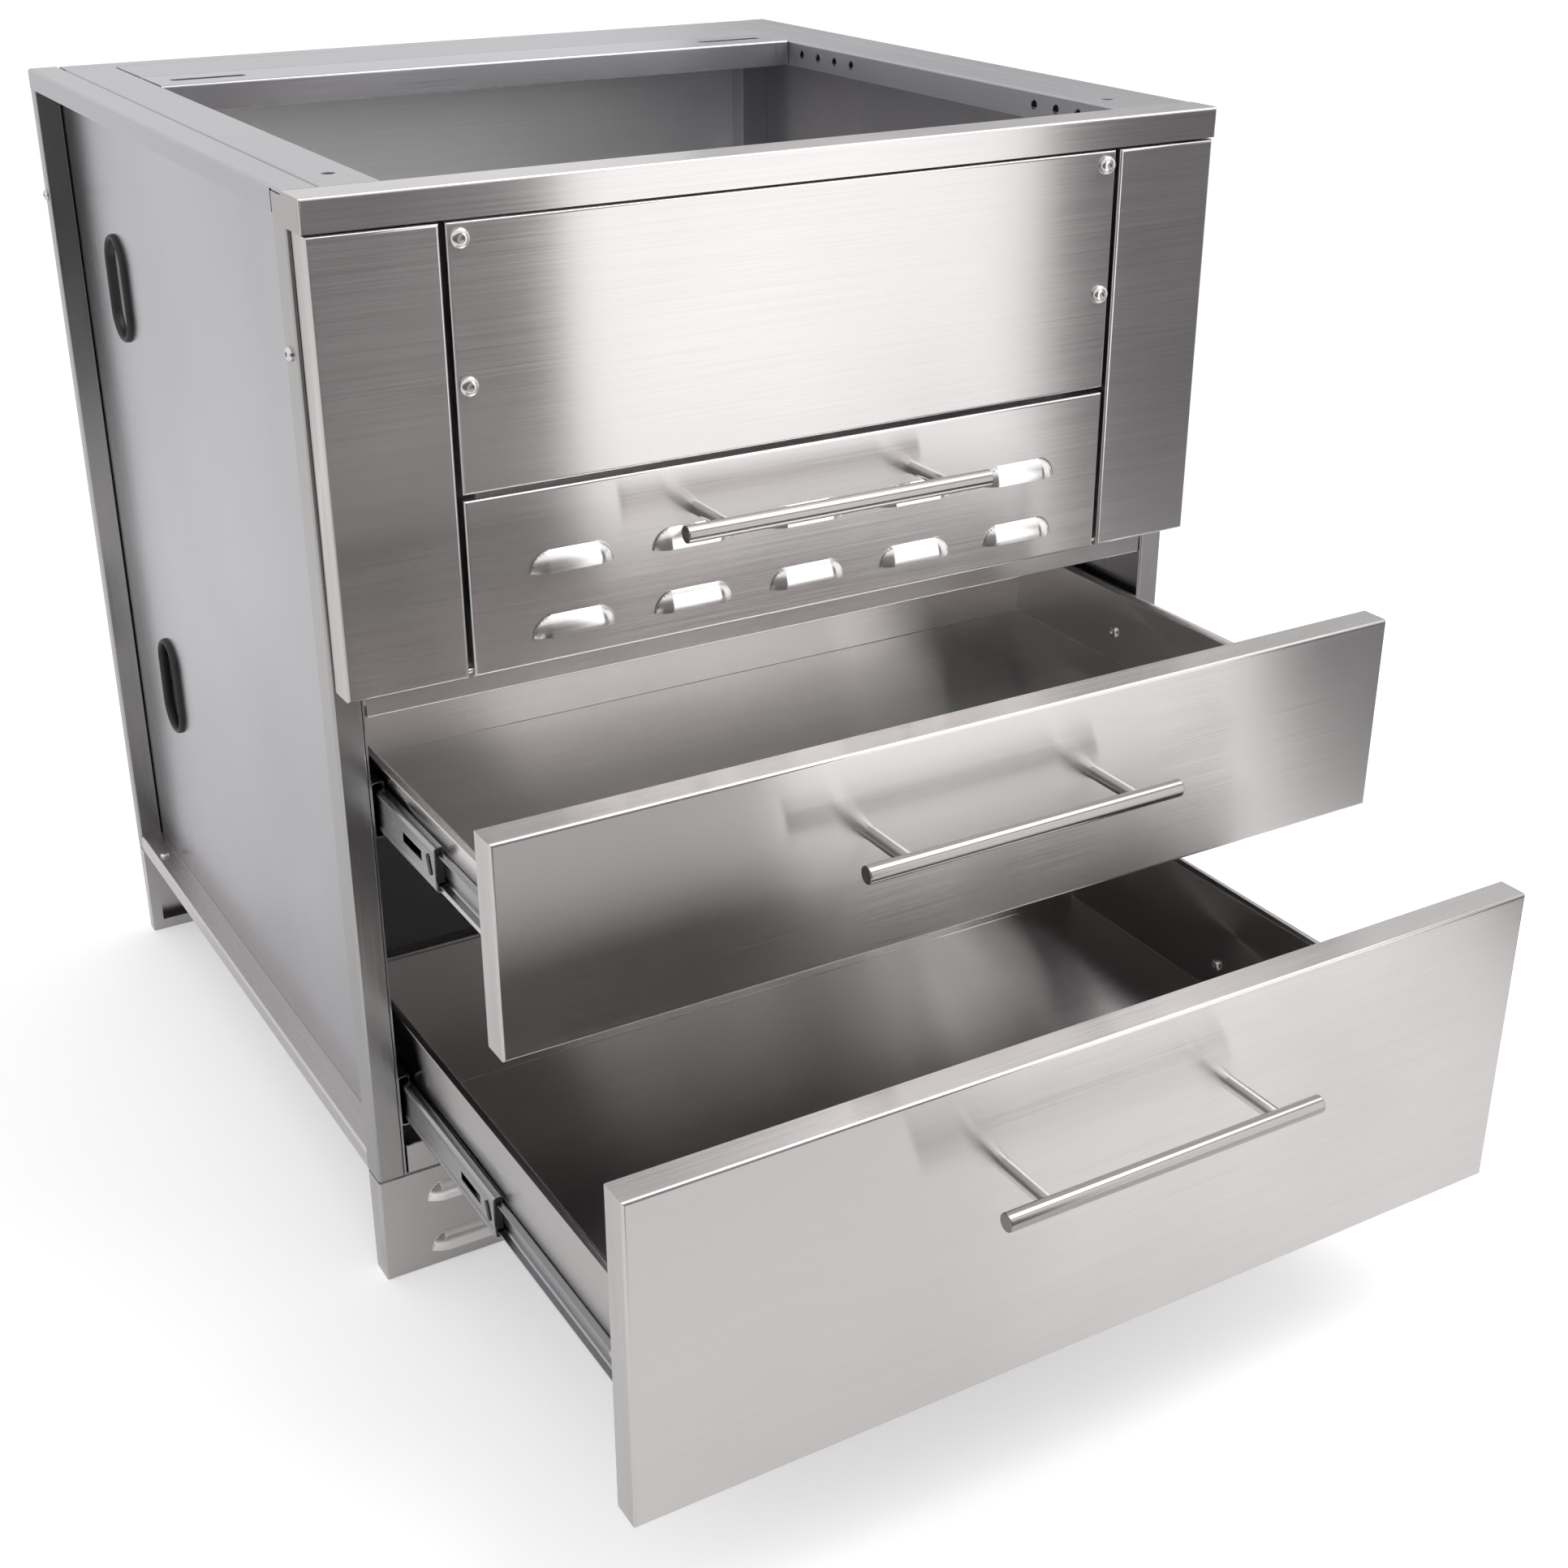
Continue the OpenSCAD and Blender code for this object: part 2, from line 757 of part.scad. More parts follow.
// A strip across the back of the well, hung from the top face
module cross_strip(x1, y0, y1, z0, r_front) {
  along_x(-x1, x1) difference() {
    soft_plate(y0, y1, z0, cab_h, [0, 0, 0, r_front]);
    plate(y0 + sheet, y1 - sheet, z0 - over, under_top);
  }
}

// Rear rim, between the two outer rims
module rear_rim() {
  color("#c6c4c8") cross_strip(rail_out, rear_rim_y, cab_d, skirt_z, 0);
}

// Plain strip between the slotted rail and the rear rim
module rear_filler() {
  color("#cbc9cd") cross_strip(
    well_half - seam_w, opening_back + slot_rail_w + seam_w, rear_rim_y - seam_w,
    cab_h - filler_skirt, 0
  );
}

// Rail along the back of the well, with the two slots that hold the worktop down
module slotted_rail() {
  y1 = opening_back + slot_rail_w;
  color("#c9c7cb") difference() {
    cross_strip(well_half - seam_w, opening_back, y1, skirt_z, fold_r);
    for (s = [-1, 1]) {
      translate([s * slot_x, (opening_back + y1) / 2, cab_h - top_skirt / 2]) {
        linear_extrude(top_skirt) rotate(90) stadium(slot_w, slot_len);
      }
    }
  }
}

// Threaded nuts under the front corners of the top
module counter_nuts() {
  color("#8a8a8a") both_sides() translate([-nut_x, nut_y, under_top - nut_len]) difference() {
    cylinder(h = nut_len, d = nut_d);
    translate([0, 0, -over]) cylinder(h = nut_len + 2 * over, d = nut_bore_d);
  }
}

// Fixed front beside the door, with the hole for the door's hinge pin
module side_front() {
  color("#a9a6a6") difference() {
    tray(-front_half, -side_face_in, front_y, panel_back, shelf_z, face_top, face_lip);
    translate([-side_face_in, pivot_y, pivot_z]) rotate([0, 90, 0]) {
      cylinder(h = 4 * sheet, d = pivot_d, center = true);
    }
  }
}

module side_front_left() {
  side_front();
}

module side_front_right() {
  mirror([1, 0, 0]) side_front();
}

// Removable front over the well, with its four screw holes
module middle_front() {
  color("#bab8b7") difference() {
    tray(-middle_half, middle_half, front_y, panel_back, middle_bottom, face_top, face_lip);
    for (s = [-1, 1], z = [screw_z_low, screw_z_high]) {
      translate([s * screw_x, panel_back, z]) rotate([90, 0, 0]) {
        cylinder(h = 4 * front_proud, r = screw_d / 2 + screw_play, center = true);
      }
    }
  }
}

// The four long button-head screws that hold the middle front to the uprights
module middle_front_screws() {
  color("#d5d3d1") for (s = [-1, 1], z = [screw_z_low, screw_z_high]) {
    translate([s * screw_x, front_y, z]) rotate([90, 0, 0]) {
      button_screw(screw_d, screw_d * 1.8, screw_d * 0.55, screw_d * 0.58, front_proud + 6);
    }
  }
}

// Small button-head screws in the posts' outer lips and in the bottom ledges
module frame_screws() {
  color("#c9c7c6") both_sides() {
    for (y = [post_lip * lip_screw_share, cab_d - rear_post_d / 2]) {
      translate([-half, y, side_screw_z]) rotate([0, -90, 0]) {
        button_screw(side_screw_d, 10.5, 3.3, 3.5, 8);
      }
    }
    translate([-half + ledge_screw_x, ledge_screw_y, frame_z + bottom_rail_h]) {
      button_screw(ledge_screw_d, 9, 2.8, 3, bottom_rail_h - 4);
    }
  }
}

// Rubber grommets that line the cable openings, each gripping the panel's edge
module cable_grommets() {
  w = grommet_w;
  len = grommet_len;
  color("#1d1d1f") both_sides() for (z = [grommet_z_low, grommet_z_high]) {
    translate([0, grommet_y, z]) difference() {
      union() {
        along_x(-side_out - grommet_proud, -side_out) {
          stadium(w + 2 * grommet_flange, len + 2 * grommet_flange);
        }
        along_x(-side_out, -side_in) stadium(w + 2 * sheet, len + 2 * sheet);
        along_x(-side_in, -side_in + 2 * sheet) {
          stadium(w + 2 * grommet_flange, len + 2 * grommet_flange);
        }
      }
      along_x(-half - over, -side_in + 2 * sheet + over) stadium(w, len);
    }
  }
}

// Pins on which the door swings, each held in its side front
module hinge_pins() {
  color("#9a9a9a") both_sides() translate([-side_face_in, pivot_y, pivot_z]) {
    rotate([0, 90, 0]) {
      translate([0, 0, -2 * sheet]) cylinder(h = 2 * sheet + face_gap + 2 * sheet, d = pivot_d);
      translate([0, 0, -2 * sheet]) cylinder(h = sheet, d = pivot_d + 1);
    }
  }
}

// Magnetic catches on the uprights, just behind the closed door's face
module magnet_catches() {
  x1 = -middle_half + 2.5 * sheet;
  z1 = door_top - catch_top_gap;
  color("#2b2b2d") both_sides() block(
    x1, x1 + catch_w,
    front_y + sheet + catch_play, panel_back,
    z1 - catch_h, z1
  );
}

// Vented drop-down door
module vent_door() {
  color("#b0adad") difference() {
    with_louvres(door_columns, door_louvre_pitch, front_y, shelf_z + door_louvre_z) {
      tray(-middle_half, middle_half, front_y, door_back, shelf_z, door_top, 0);
    }
    handle_holes(front_y, door_top - door_bar_drop);
    for (s = [-1, 1]) translate([s * middle_half, pivot_y, pivot_z]) rotate([0, 90, 0]) {
      cylinder(h = 4 * sheet, r = pivot_d / 2 + pivot_play, center = true);
    }
  }
}

// Holes for a handle's two studs in a front whose face is at y, with the bar at height z
module handle_holes(y, z) {
  for (s = [-1, 1]) translate([s * post_pitch / 2, y, z]) rotate([90, 0, 0]) {
    cylinder(h = 4 * sheet, r = stud_d / 2 + stud_play, center = true);
  }
}

// Handle bar with chamfered ends
module handle_bar(y, z) {
  r = bar_d / 2;
  l = bar_len / 2;
  translate([0, y - bar_reach, z]) rotate([0, 90, 0]) rotate_extrude() polygon([
    [0, -l], [r - bar_chamfer, -l], [r, -l + bar_chamfer],
    [r, l - bar_chamfer], [r - bar_chamfer, l], [0, l]
  ]);
}

// A handle's two posts, saddled to the bar, with their studs and nuts
module handle_posts(y, z) {
  for (s = [-1, 1]) translate([s * post_pitch / 2, y, z]) {
    difference() {
      union() {
        rotate([90, 0, 0]) cylinder(h = bar_reach, d = post_d);
        rotate([-90, 0, 0]) cylinder(h = stud_len, d = stud_d);
      }
      translate([0, -bar_reach, 0]) rotate([0, 90, 0]) {
        cylinder(h = 2 * post_d, d = bar_d, center = true);
      }
    }
    translate([0, sheet, 0]) rotate([-90, 0, 0]) difference() {
      cylinder(h = nut_t, d = nut_across, $fn = 6);
      translate([0, 0, -over]) cylinder(h = nut_t + 2 * over, r = stud_d / 2 + stud_play / 4);
    }
  }
}

module door_handle_bar() {
  color("#d8d6d5") handle_bar(front_y, door_top - door_bar_drop);
}

module door_handle_posts() {
  color("#cfcdcc") handle_posts(front_y, door_top - door_bar_drop);
}

// Cabinet member of a slide: its (X, Z) profile, from the side panel towards the drawer
module slide_rail_profile() {
  h = slide_h / 2;
  lip_z = slide_mid_h / 2 + slide_gap;
  plate(0, slide_t, -h, h);
  for (s = [0, 1]) mirror([0, s]) {
    plate(0, rail_end_x, h - slide_t, h);
    plate(rail_end_x - slide_t, rail_end_x, lip_z, h);
  }
}

// Middle member of a slide
module slide_middle_profile() {
  h = slide_mid_h / 2;
  lip_z = slide_in_h / 2 + slide_gap;
  plate(mid_web_x, mid_web_x + slide_t, -h, h);
  for (s = [0, 1]) mirror([0, s]) {
    plate(mid_web_x, mid_end_x, h - slide_t, h);
    plate(mid_end_x - slide_t, mid_end_x, lip_z, h);
  }
}

// Drawer member of a slide
module slide_runner_profile() {
  h = slide_in_h / 2;
  plate(slide_w - slide_t, slide_w, -h, h);
  for (s = [0, 1]) mirror([0, s]) plate(slide_w - runner_lip, slide_w, h - slide_t, h);
}

// Places a left-hand slide profile against the side panel and mirrors it to the right
module slide_pair(z) {
  both_sides() translate([-side_in, 0, z]) children();
}

// Cabinet members of one drawer's slides
module slide_rails(z, len) {
  color("#b9bbbd") slide_pair(z) along_y(slide_start, slide_start + len) slide_rail_profile();
}

// Slanted window near a middle member's front end, filled by the plastic stop
module stop_window() {
  rotate(-20) stadium(stop_w, stop_slant);
}

// Middle members of one drawer's slides, whose front ends are at y
module slide_middles(y, z, len) {
  color("#c3c5c7") slide_pair(z) difference() {
    along_y(y, y + len - mid_shorter) slide_middle_profile();
    translate([0, y + window_back, 0]) block(
      mid_web_x - over, mid_web_x + slide_t + over, 0, window_len, -window_h / 2, window_h / 2
    );
    translate([0, y + stop_len, 0]) along_x(mid_web_x - over, mid_web_x + slide_t + over) {
      stop_window();
    }
  }
}

// Black plastic stops in the front ends of the middle members
module slide_stops(y, z) {
  x0 = mid_web_x + slide_t;
  h = slide_mid_h / 2 - slide_t - slide_gap;
  h_in = slide_in_h / 2;
  color("#141414") slide_pair(z) union() {
    translate([0, y + stop_len, 0]) along_x(mid_web_x, x0) stop_window();
    block(x0, slide_w - runner_lip - slide_gap, y, y + 1.7 * stop_len, -h, h);
    block(
      x0, slide_w - slide_t - bolt_tip - slide_gap, y, y + 0.7 * stop_len,
      -h_in + 2 * slide_t, h_in - 2 * slide_t
    );
    for (s = [0, 1]) mirror([0, 0, s]) block(
      x0, mid_end_x - slide_t - slide_gap, y, y + 0.7 * stop_len, h_in + slide_gap, h
    );
  }
}

// Drawer members of one drawer's slides, for a front whose back is at y
module slide_runners(y, z, len) {
  color("#c9cbcd") slide_pair(z) difference() {
    along_y(y + runner_start, y + runner_start + len) slide_runner_profile();
    bolt_holes(y, 0, slide_w);
  }
}

// Holes for a drawer's bolts, on the left, at distance x from the side panel
module bolt_holes(y, z, x) {
  for (i = [0, 1]) translate([x, y - drawer_front_d + bolt_front + i * bolt_pitch, z]) {
    rotate([0, 90, 0]) cylinder(h = 6 * sheet, r = bolt_d / 2 + bolt_play, center = true);
  }
}

// Round-headed bolts that hold the drawer to its runners
module drawer_bolts(y, z) {
  color("#d0d2d4") slide_pair(z) for (i = [0, 1]) {
    translate([slide_w + box_sheet, y - drawer_front_d + bolt_front + i * bolt_pitch, 0]) {
      rotate([0, 90, 0]) {
        button_screw(bolt_d, bolt_head_d, bolt_head_h, 4, box_sheet + slide_t + bolt_tip);
      }
    }
  }
}

// Hollow drawer front, with the holes for its handle
module drawer_front(y, z0, z1, bar_z) {
  difference() {
    tray(-front_half, front_half, y, y + drawer_front_d, z0, z1, 0);
    handle_holes(y, bar_z);
  }
}

// Sheet that closes the back of a drawer's front
module drawer_lining(y, z0, z1) {
  y1 = y + drawer_front_d;
  color("#77736f") block(
    -front_half + sheet, front_half - sheet, y1 - box_sheet, y1, z0 + sheet, z1 - sheet
  );
}

// Drawer box: floor, flanged sides and a taller back wall, for a front whose back is at y
module drawer_box(y, floor_z, depth, side_h, slide_z) {
  t = box_sheet;
  z1 = floor_z + side_h;
  z2 = z1 + back_rise;
  y1 = y + depth;
  difference() {
    union() {
      block(-box_half, box_half, y, y1 + t, floor_z - t, z1);
      block(-box_half, box_half, y1, y1 + t, floor_z - t, z2);
      block(-box_half, box_half, y1, y1 + back_hem, z2 - t, z2);
      both_sides() block(-box_half + t - hem_w, -box_half + t, y, y1 + t, z1 - t, z1);
    }
    block(-box_half + t, box_half - t, y - over, y1, floor_z, z2 + over);
    both_sides() translate([-box_half, 0, 0]) bolt_holes(y, slide_z, 0);
  }
}

// Upper drawer
module upper_slide_rails() {
  slide_rails(upper_bottom + slide_rise, upper_slide_len);
}

module upper_slide_middles() {
  slide_middles(
    mid_setback - upper_mid_share * upper_open, upper_bottom + slide_rise, upper_slide_len
  );
}

module upper_slide_stops() {
  slide_stops(mid_setback - upper_mid_share * upper_open, upper_bottom + slide_rise);
}

module upper_slide_runners() {
  slide_runners(upper_y + drawer_front_d, upper_bottom + slide_rise, upper_slide_len);
}

module upper_bolts() {
  drawer_bolts(upper_y + drawer_front_d, upper_bottom + slide_rise);
}

module upper_front() {
  color("#9c9795") drawer_front(upper_y, upper_bottom, upper_top, upper_top - upper_bar_drop);
}

module upper_lining() {
  drawer_lining(upper_y, upper_bottom, upper_top);
}

module upper_box() {
  color("#7d7975") drawer_box(
    upper_y + drawer_front_d, upper_bottom + box_rise, upper_box_d, upper_side_h,
    upper_bottom + slide_rise
  );
}

module upper_handle_bar() {
  color("#d8d6d5") handle_bar(upper_y, upper_top - upper_bar_drop);
}

module upper_handle_posts() {
  color("#cfcdcc") handle_posts(upper_y, upper_top - upper_bar_drop);
}

// Lower drawer
module lower_slide_rails() {
  slide_rails(lower_bottom + slide_rise, lower_slide_len);
}

module lower_slide_middles() {
  slide_middles(
    mid_setback - lower_mid_share * lower_open, lower_bottom + slide_rise, lower_slide_len
  );
}

module lower_slide_stops() {
  slide_stops(mid_setback - lower_mid_share * lower_open, lower_bottom + slide_rise);
}

module lower_slide_runners() {
  slide_runners(lower_y + drawer_front_d, lower_bottom + slide_rise, lower_slide_len);
}

module lower_bolts() {
  drawer_bolts(lower_y + drawer_front_d, lower_bottom + slide_rise);
}

module lower_front() {
  color("#c5c1bf") drawer_front(lower_y, lower_bottom, lower_top, lower_top - lower_bar_drop);
}

module lower_lining() {
  drawer_lining(lower_y, lower_bottom, lower_top);
}

module lower_box() {
  color("#827e7a") drawer_box(
    lower_y + drawer_front_d, lower_bottom + box_rise, lower_box_d, lower_side_h,
    lower_bottom + slide_rise
  );
}

module lower_handle_bar() {
  color("#d8d6d5") handle_bar(lower_y, lower_top - lower_bar_drop);
}

module lower_handle_posts() {
  color("#cfcdcc") handle_posts(lower_y, lower_top - lower_bar_drop);
}

front_plinth();
rear_plinth();
base_panel();
front_post_left();
front_post_right();
rear_post_left();
rear_post_right();
bottom_rail_left();
bottom_rail_right();
low_front_rail();
mid_front_rail();
side_panel_left();
side_panel_right();
back_panel();
grill_shelf();
corner_box_left();
corner_box_right();
upright_left();
upright_right();
front_top_rail();
rim_left();
rim_right();
top_rail_left();
top_rail_right();
rear_rim();
rear_filler();
slotted_rail();
counter_nuts();
side_front_left();
side_front_right();
middle_front();
middle_front_screws();
frame_screws();
cable_grommets();
hinge_pins();
magnet_catches();
upper_slide_rails();
lower_slide_rails();
vent_door();
door_handle_bar();
door_handle_posts();
upper_slide_middles();
upper_slide_stops();
lower_slide_middles();
lower_slide_stops();
upper_front();
upper_lining();
upper_box();
upper_handle_bar();
upper_handle_posts();
upper_slide_runners();
upper_bolts();
lower_front();
lower_lining();
lower_box();
lower_handle_bar();
lower_handle_posts();
lower_slide_runners();
lower_bolts();
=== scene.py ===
# %% [markdown]
# # A stainless-steel base cabinet for a kamado grill
# The cabinet is folded from sheet steel. An open well holds the grill, a vented door
# closes the front below it, and two drawers run on ball-bearing slides. The exact solids
# come in from the CAD model, and this lesson gives them the rounded folds, louvres, screws,
# slides and finishes that the eye expects.

# %% Tools and units
import math

import bmesh
import bpy
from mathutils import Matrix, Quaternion, Vector


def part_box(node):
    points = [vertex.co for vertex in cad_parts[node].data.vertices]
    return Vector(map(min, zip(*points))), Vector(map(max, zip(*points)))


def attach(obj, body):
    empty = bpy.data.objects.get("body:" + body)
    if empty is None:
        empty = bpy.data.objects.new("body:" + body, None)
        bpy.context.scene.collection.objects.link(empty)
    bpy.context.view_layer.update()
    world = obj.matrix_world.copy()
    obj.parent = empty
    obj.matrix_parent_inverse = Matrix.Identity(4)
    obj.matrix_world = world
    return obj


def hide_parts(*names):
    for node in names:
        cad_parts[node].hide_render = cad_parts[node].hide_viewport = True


MM = 0.001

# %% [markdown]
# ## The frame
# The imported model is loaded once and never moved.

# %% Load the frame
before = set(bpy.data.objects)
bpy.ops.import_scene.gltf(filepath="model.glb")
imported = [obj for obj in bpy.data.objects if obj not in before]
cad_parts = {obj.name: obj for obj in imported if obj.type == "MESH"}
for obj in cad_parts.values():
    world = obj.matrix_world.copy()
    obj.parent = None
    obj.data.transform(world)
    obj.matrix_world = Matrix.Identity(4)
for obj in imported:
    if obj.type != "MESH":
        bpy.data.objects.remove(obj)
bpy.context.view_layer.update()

# %% [markdown]
# ## The camera
# The photograph was matched with a pinhole camera: a normal 50 mm view from the front left,
# looking down. The same numbers place this camera.

# %% Camera
VIEW_PLACE = (-0.8303, -1.4051, 1.13697)
VIEW_TURN = math.radians(30.453)
VIEW_DOWN = math.radians(25.488)
VIEW_ROLL = math.radians(-0.07)
LENS_MM = 50.034
SENSOR_MM = 36

camera = bpy.data.objects.new("camera", bpy.data.cameras.new("camera"))
bpy.context.scene.collection.objects.link(camera)
camera.data.lens = LENS_MM
camera.data.sensor_width = SENSOR_MM
looks = Vector((
    math.sin(VIEW_TURN) * math.cos(VIEW_DOWN),
    math.cos(VIEW_TURN) * math.cos(VIEW_DOWN),
    -math.sin(VIEW_DOWN),
))
camera.location = VIEW_PLACE
camera.rotation_mode = "QUATERNION"
camera.rotation_quaternion = looks.to_track_quat("-Z", "Y") @ Quaternion((0, 0, 1), VIEW_ROLL)
bpy.context.scene.camera = camera
bpy.context.scene.view_settings.view_transform = "Standard"
print("camera looks along", [round(v, 3) for v in looks])

# %% [markdown]
# ## Starting a piece
# Every piece starts as a primitive at its size and place, in millimetres. Its place is
# moved into its mesh at once, so the object stays at the origin like the CAD nodes. An
# operator acts on all that is selected, so each start first deselects everything.

# %% Start a block or a rod
TURNS = {"x": (0, math.pi / 2, 0), "y": (math.pi / 2, 0, 0), "z": (0, 0, 0)}


def keep_place(name):
    """Names the new primitive and moves its place and size into its mesh."""
    piece = bpy.context.object
    piece.name = piece.data.name = name
    bpy.ops.object.transform_apply(location=True, rotation=True, scale=True)
    return piece


def start_block(name, low, high):
    """A block between two corners in millimetres."""
    bpy.ops.object.select_all(action="DESELECT")
    bpy.ops.mesh.primitive_cube_add(
        size=1,
        location=[(a + b) / 2 * MM for a, b in zip(low, high)],
        scale=[(b - a) * MM for a, b in zip(low, high)],
    )
    return keep_place(name)


def side_block(name, sign, near, far, ys, zs):
    """A block on the left (-1) or right (1), between two distances from the middle."""
    xs = sorted((sign * near, sign * far))
    return start_block(name, (xs[0], ys[0], zs[0]), (xs[1], ys[1], zs[1]))


def start_rod(name, axis, middle, radius, length, sides=48):
    """A round rod along an axis, with its middle and sizes in millimetres."""
    bpy.ops.object.select_all(action="DESELECT")
    bpy.ops.mesh.primitive_cylinder_add(
        vertices=sides, radius=radius * MM, depth=length * MM,
        location=[v * MM for v in middle], rotation=TURNS[axis],
    )
    return keep_place(name)


# %% [markdown]
# ## Picking in edit mode
# By hand, faces and edges are clicked. Here they are picked by where they lie: a test
# looks at the middle of each face or edge in millimetres, and at the way it faces or runs.

# %% Open one piece and pick in it
PARTS = {"VERT": "verts", "EDGE": "edges", "FACE": "faces"}


def choose(piece):
    """Makes one piece active, and the only one that is selected."""
    bpy.ops.object.select_all(action="DESELECT")
    bpy.context.view_layer.objects.active = piece
    piece.select_set(True)


def edit(piece):
    """Opens one piece in edit mode with nothing else selected."""
    choose(piece)
    bpy.ops.object.mode_set(mode="EDIT")


def done():
    """Goes back to object mode."""
    bpy.ops.object.mode_set(mode="OBJECT")


def pick(kind, test):
    """Selects the verts, edges or faces whose middle and way pass the test."""
    bpy.ops.mesh.select_mode(type=kind)
    bpy.ops.mesh.select_all(action="DESELECT")
    data = bpy.context.edit_object.data
    mesh = bmesh.from_edit_mesh(data)
    mesh.normal_update()
    for part in getattr(mesh, PARTS[kind]):
        if kind == "VERT":
            middle, way = part.co, part.normal
        elif kind == "EDGE":
            middle = (part.verts[0].co + part.verts[1].co) / 2
            way = (part.verts[0].co - part.verts[1].co).normalized()
        else:
            middle, way = part.calc_center_median(), part.normal
        if test(middle / MM, way):
            part.select_set(True)
    bmesh.update_edit_mesh(data)


# %% Move, extrude and round what is picked
def shift(x, y, z):
    """Moves what is picked by millimetres."""
    bpy.ops.transform.translate(value=(x * MM, y * MM, z * MM))


def grow(x, y, z):
    """Extrudes the picked edges into a new strip of sheet."""
    bpy.ops.mesh.extrude_edges_move()
    shift(x, y, z)


def round_edges(radius, segments):
    """Bevels the picked edges."""
    bpy.ops.mesh.bevel(offset=radius * MM, segments=segments, affect="EDGES")


def pull_apart(reach, axis=0, middle=0):
    """Moves the two halves of a round form apart, so that it gets a straight middle."""
    for sign in (-1, 1):
        pick("VERT", lambda place, way: sign * (place[axis] - middle) > 0.5)
        shift(*[sign * reach if i == axis else 0 for i in range(3)])


# %% Modify, join and copy pieces
def modify(piece, kind, **values):
    """Adds one modifier, sets it and applies it."""
    choose(piece)
    modifier = piece.modifiers.new(kind.lower(), kind)
    for key, value in values.items():
        setattr(modifier, key, value)
    bpy.ops.object.modifier_apply(modifier=modifier.name)


def joined(name, pieces):
    """Joins pieces into the first of them."""
    choose(pieces[0])
    for piece in pieces[1:]:
        piece.select_set(True)
    if len(pieces) > 1:
        bpy.ops.object.join()
    pieces[0].name = pieces[0].data.name = name
    return pieces[0]


def copied(piece, name, move):
    """A copy with its own mesh, moved by millimetres in its mesh."""
    twin = piece.copy()
    twin.data = piece.data.copy()
    twin.name = twin.data.name = name
    bpy.context.scene.collection.objects.link(twin)
    edit(twin)
    bpy.ops.mesh.select_all(action="SELECT")
    shift(*move)
    done()
    return twin


# %% [markdown]
# ## Folded sheet
# Almost every piece here is one sheet with its edges folded over. By hand it is a block
# whose open sides are deleted, whose folds are bevelled to the bending radius, and which
# then gets the thickness of the sheet inwards. The cut edges of real sheet are never
# sharp, so the last bevel breaks them, and weighted normals keep the flats truly flat.

# %% Name the sides and edges of a block
# Millimetres: the sheet, a wide fold, a tight fold, and how near counts as the same place.
SHEET = 1.5
FOLD = 2.5
BEND = 1.6
NEAR = 0.05
# A way counts as running along an axis where its share of that axis is more than this.
ALONG = 0.9
AXIS = {"x": 0, "y": 1, "z": 2}
# Each side's name and sign, and the names of the sides that face outwards and inwards.
SIDES = (("left", -1, "-x", "+x"), ("right", 1, "+x", "-x"))


def side_test(low, high, side):
    """A test for the block's face on a side such as -y."""
    axis = AXIS[side[1]]
    place = low[axis] if side[0] == "-" else high[axis]
    return lambda middle, way: abs(middle[axis] - place) < NEAR and abs(way[axis]) > ALONG


def edge_test(low, high, edges):
    """A test for the block's edges between two sides each, such as -y+z."""
    places = []
    for edge in edges:
        place = {}
        for side in (edge[:2], edge[2:]):
            axis = AXIS[side[1]]
            place[axis] = low[axis] if side[0] == "-" else high[axis]
        places.append(place)
    return lambda middle, way: any(
        all(abs(middle[axis] - value) < NEAR for axis, value in place.items()) for place in places
    )


# %% Fold a sheet
def box_of(node):
    """A CAD node's two corners in millimetres."""
    return [[v / MM for v in corner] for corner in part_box(node)]


def open_side(low, high, side, lip=0):
    """Deletes the block's face on a side, or all of it but a lip."""
    pick("FACE", side_test(low, high, side))
    if lip:
        bpy.ops.mesh.inset(thickness=lip * MM, depth=0)
    bpy.ops.mesh.delete(type="FACE")


def thicken(piece, sheet=SHEET):
    """Gives an open shell the thickness of its sheet, inwards."""
    modify(piece, "SOLIDIFY", thickness=sheet * MM, offset=-1, use_even_offset=True)


def fold(name, low, high, open_sides, folds, lip=0):
    """A folded sheet: open_sides are missing, folds gives each radius its edges."""
    piece = start_block(name, low, high)
    edit(piece)
    for side in open_sides:
        open_side(low, high, side, lip)
    for radius, edges in folds.items():
        pick("EDGE", edge_test(low, high, edges))
        round_edges(radius, 3 if radius < FOLD else 6)
    done()
    thicken(piece)
    return piece


def fold_node(node, open_sides, folds, lip=0):
    """A folded sheet as large as a CAD node."""
    return fold(node + "_folded", *box_of(node), open_sides, folds, lip)


# %% Cut, soften and smooth
def cut(piece, cutters):
    """Cuts holes through a piece with the shapes given, and removes the shapes."""
    tool = joined("cutter", cutters)
    modify(piece, "BOOLEAN", object=tool, operation="DIFFERENCE", solver="EXACT")
    bpy.data.objects.remove(tool, do_unlink=True)


def smooth(piece, angle=35):
    """Smooth shading up to an angle, with the wide faces leading."""
    choose(piece)
    bpy.ops.object.shade_smooth_by_angle(angle=math.radians(angle))
    modify(piece, "WEIGHTED_NORMAL", keep_sharp=True, weight=100)


def soften(piece, width=0.3, angle=50):
    """Breaks the sharp edges and smooths the shading round them."""
    modify(
        piece, "BEVEL", width=width * MM, segments=2, limit_method="ANGLE",
        angle_limit=math.radians(angle), use_clamp_overlap=True,
    )
    smooth(piece)


# %% [markdown]
# ## Bodies and finishes
# A finished piece rides on a body of the frame, such as a drawer, and stands for CAD
# nodes, which are then hidden. Some sheets get a second material face by face: the hoods
# pressed out of a plate get a painted highlight, and the insides of channels painted shade.

# %% Finish a piece
made = []


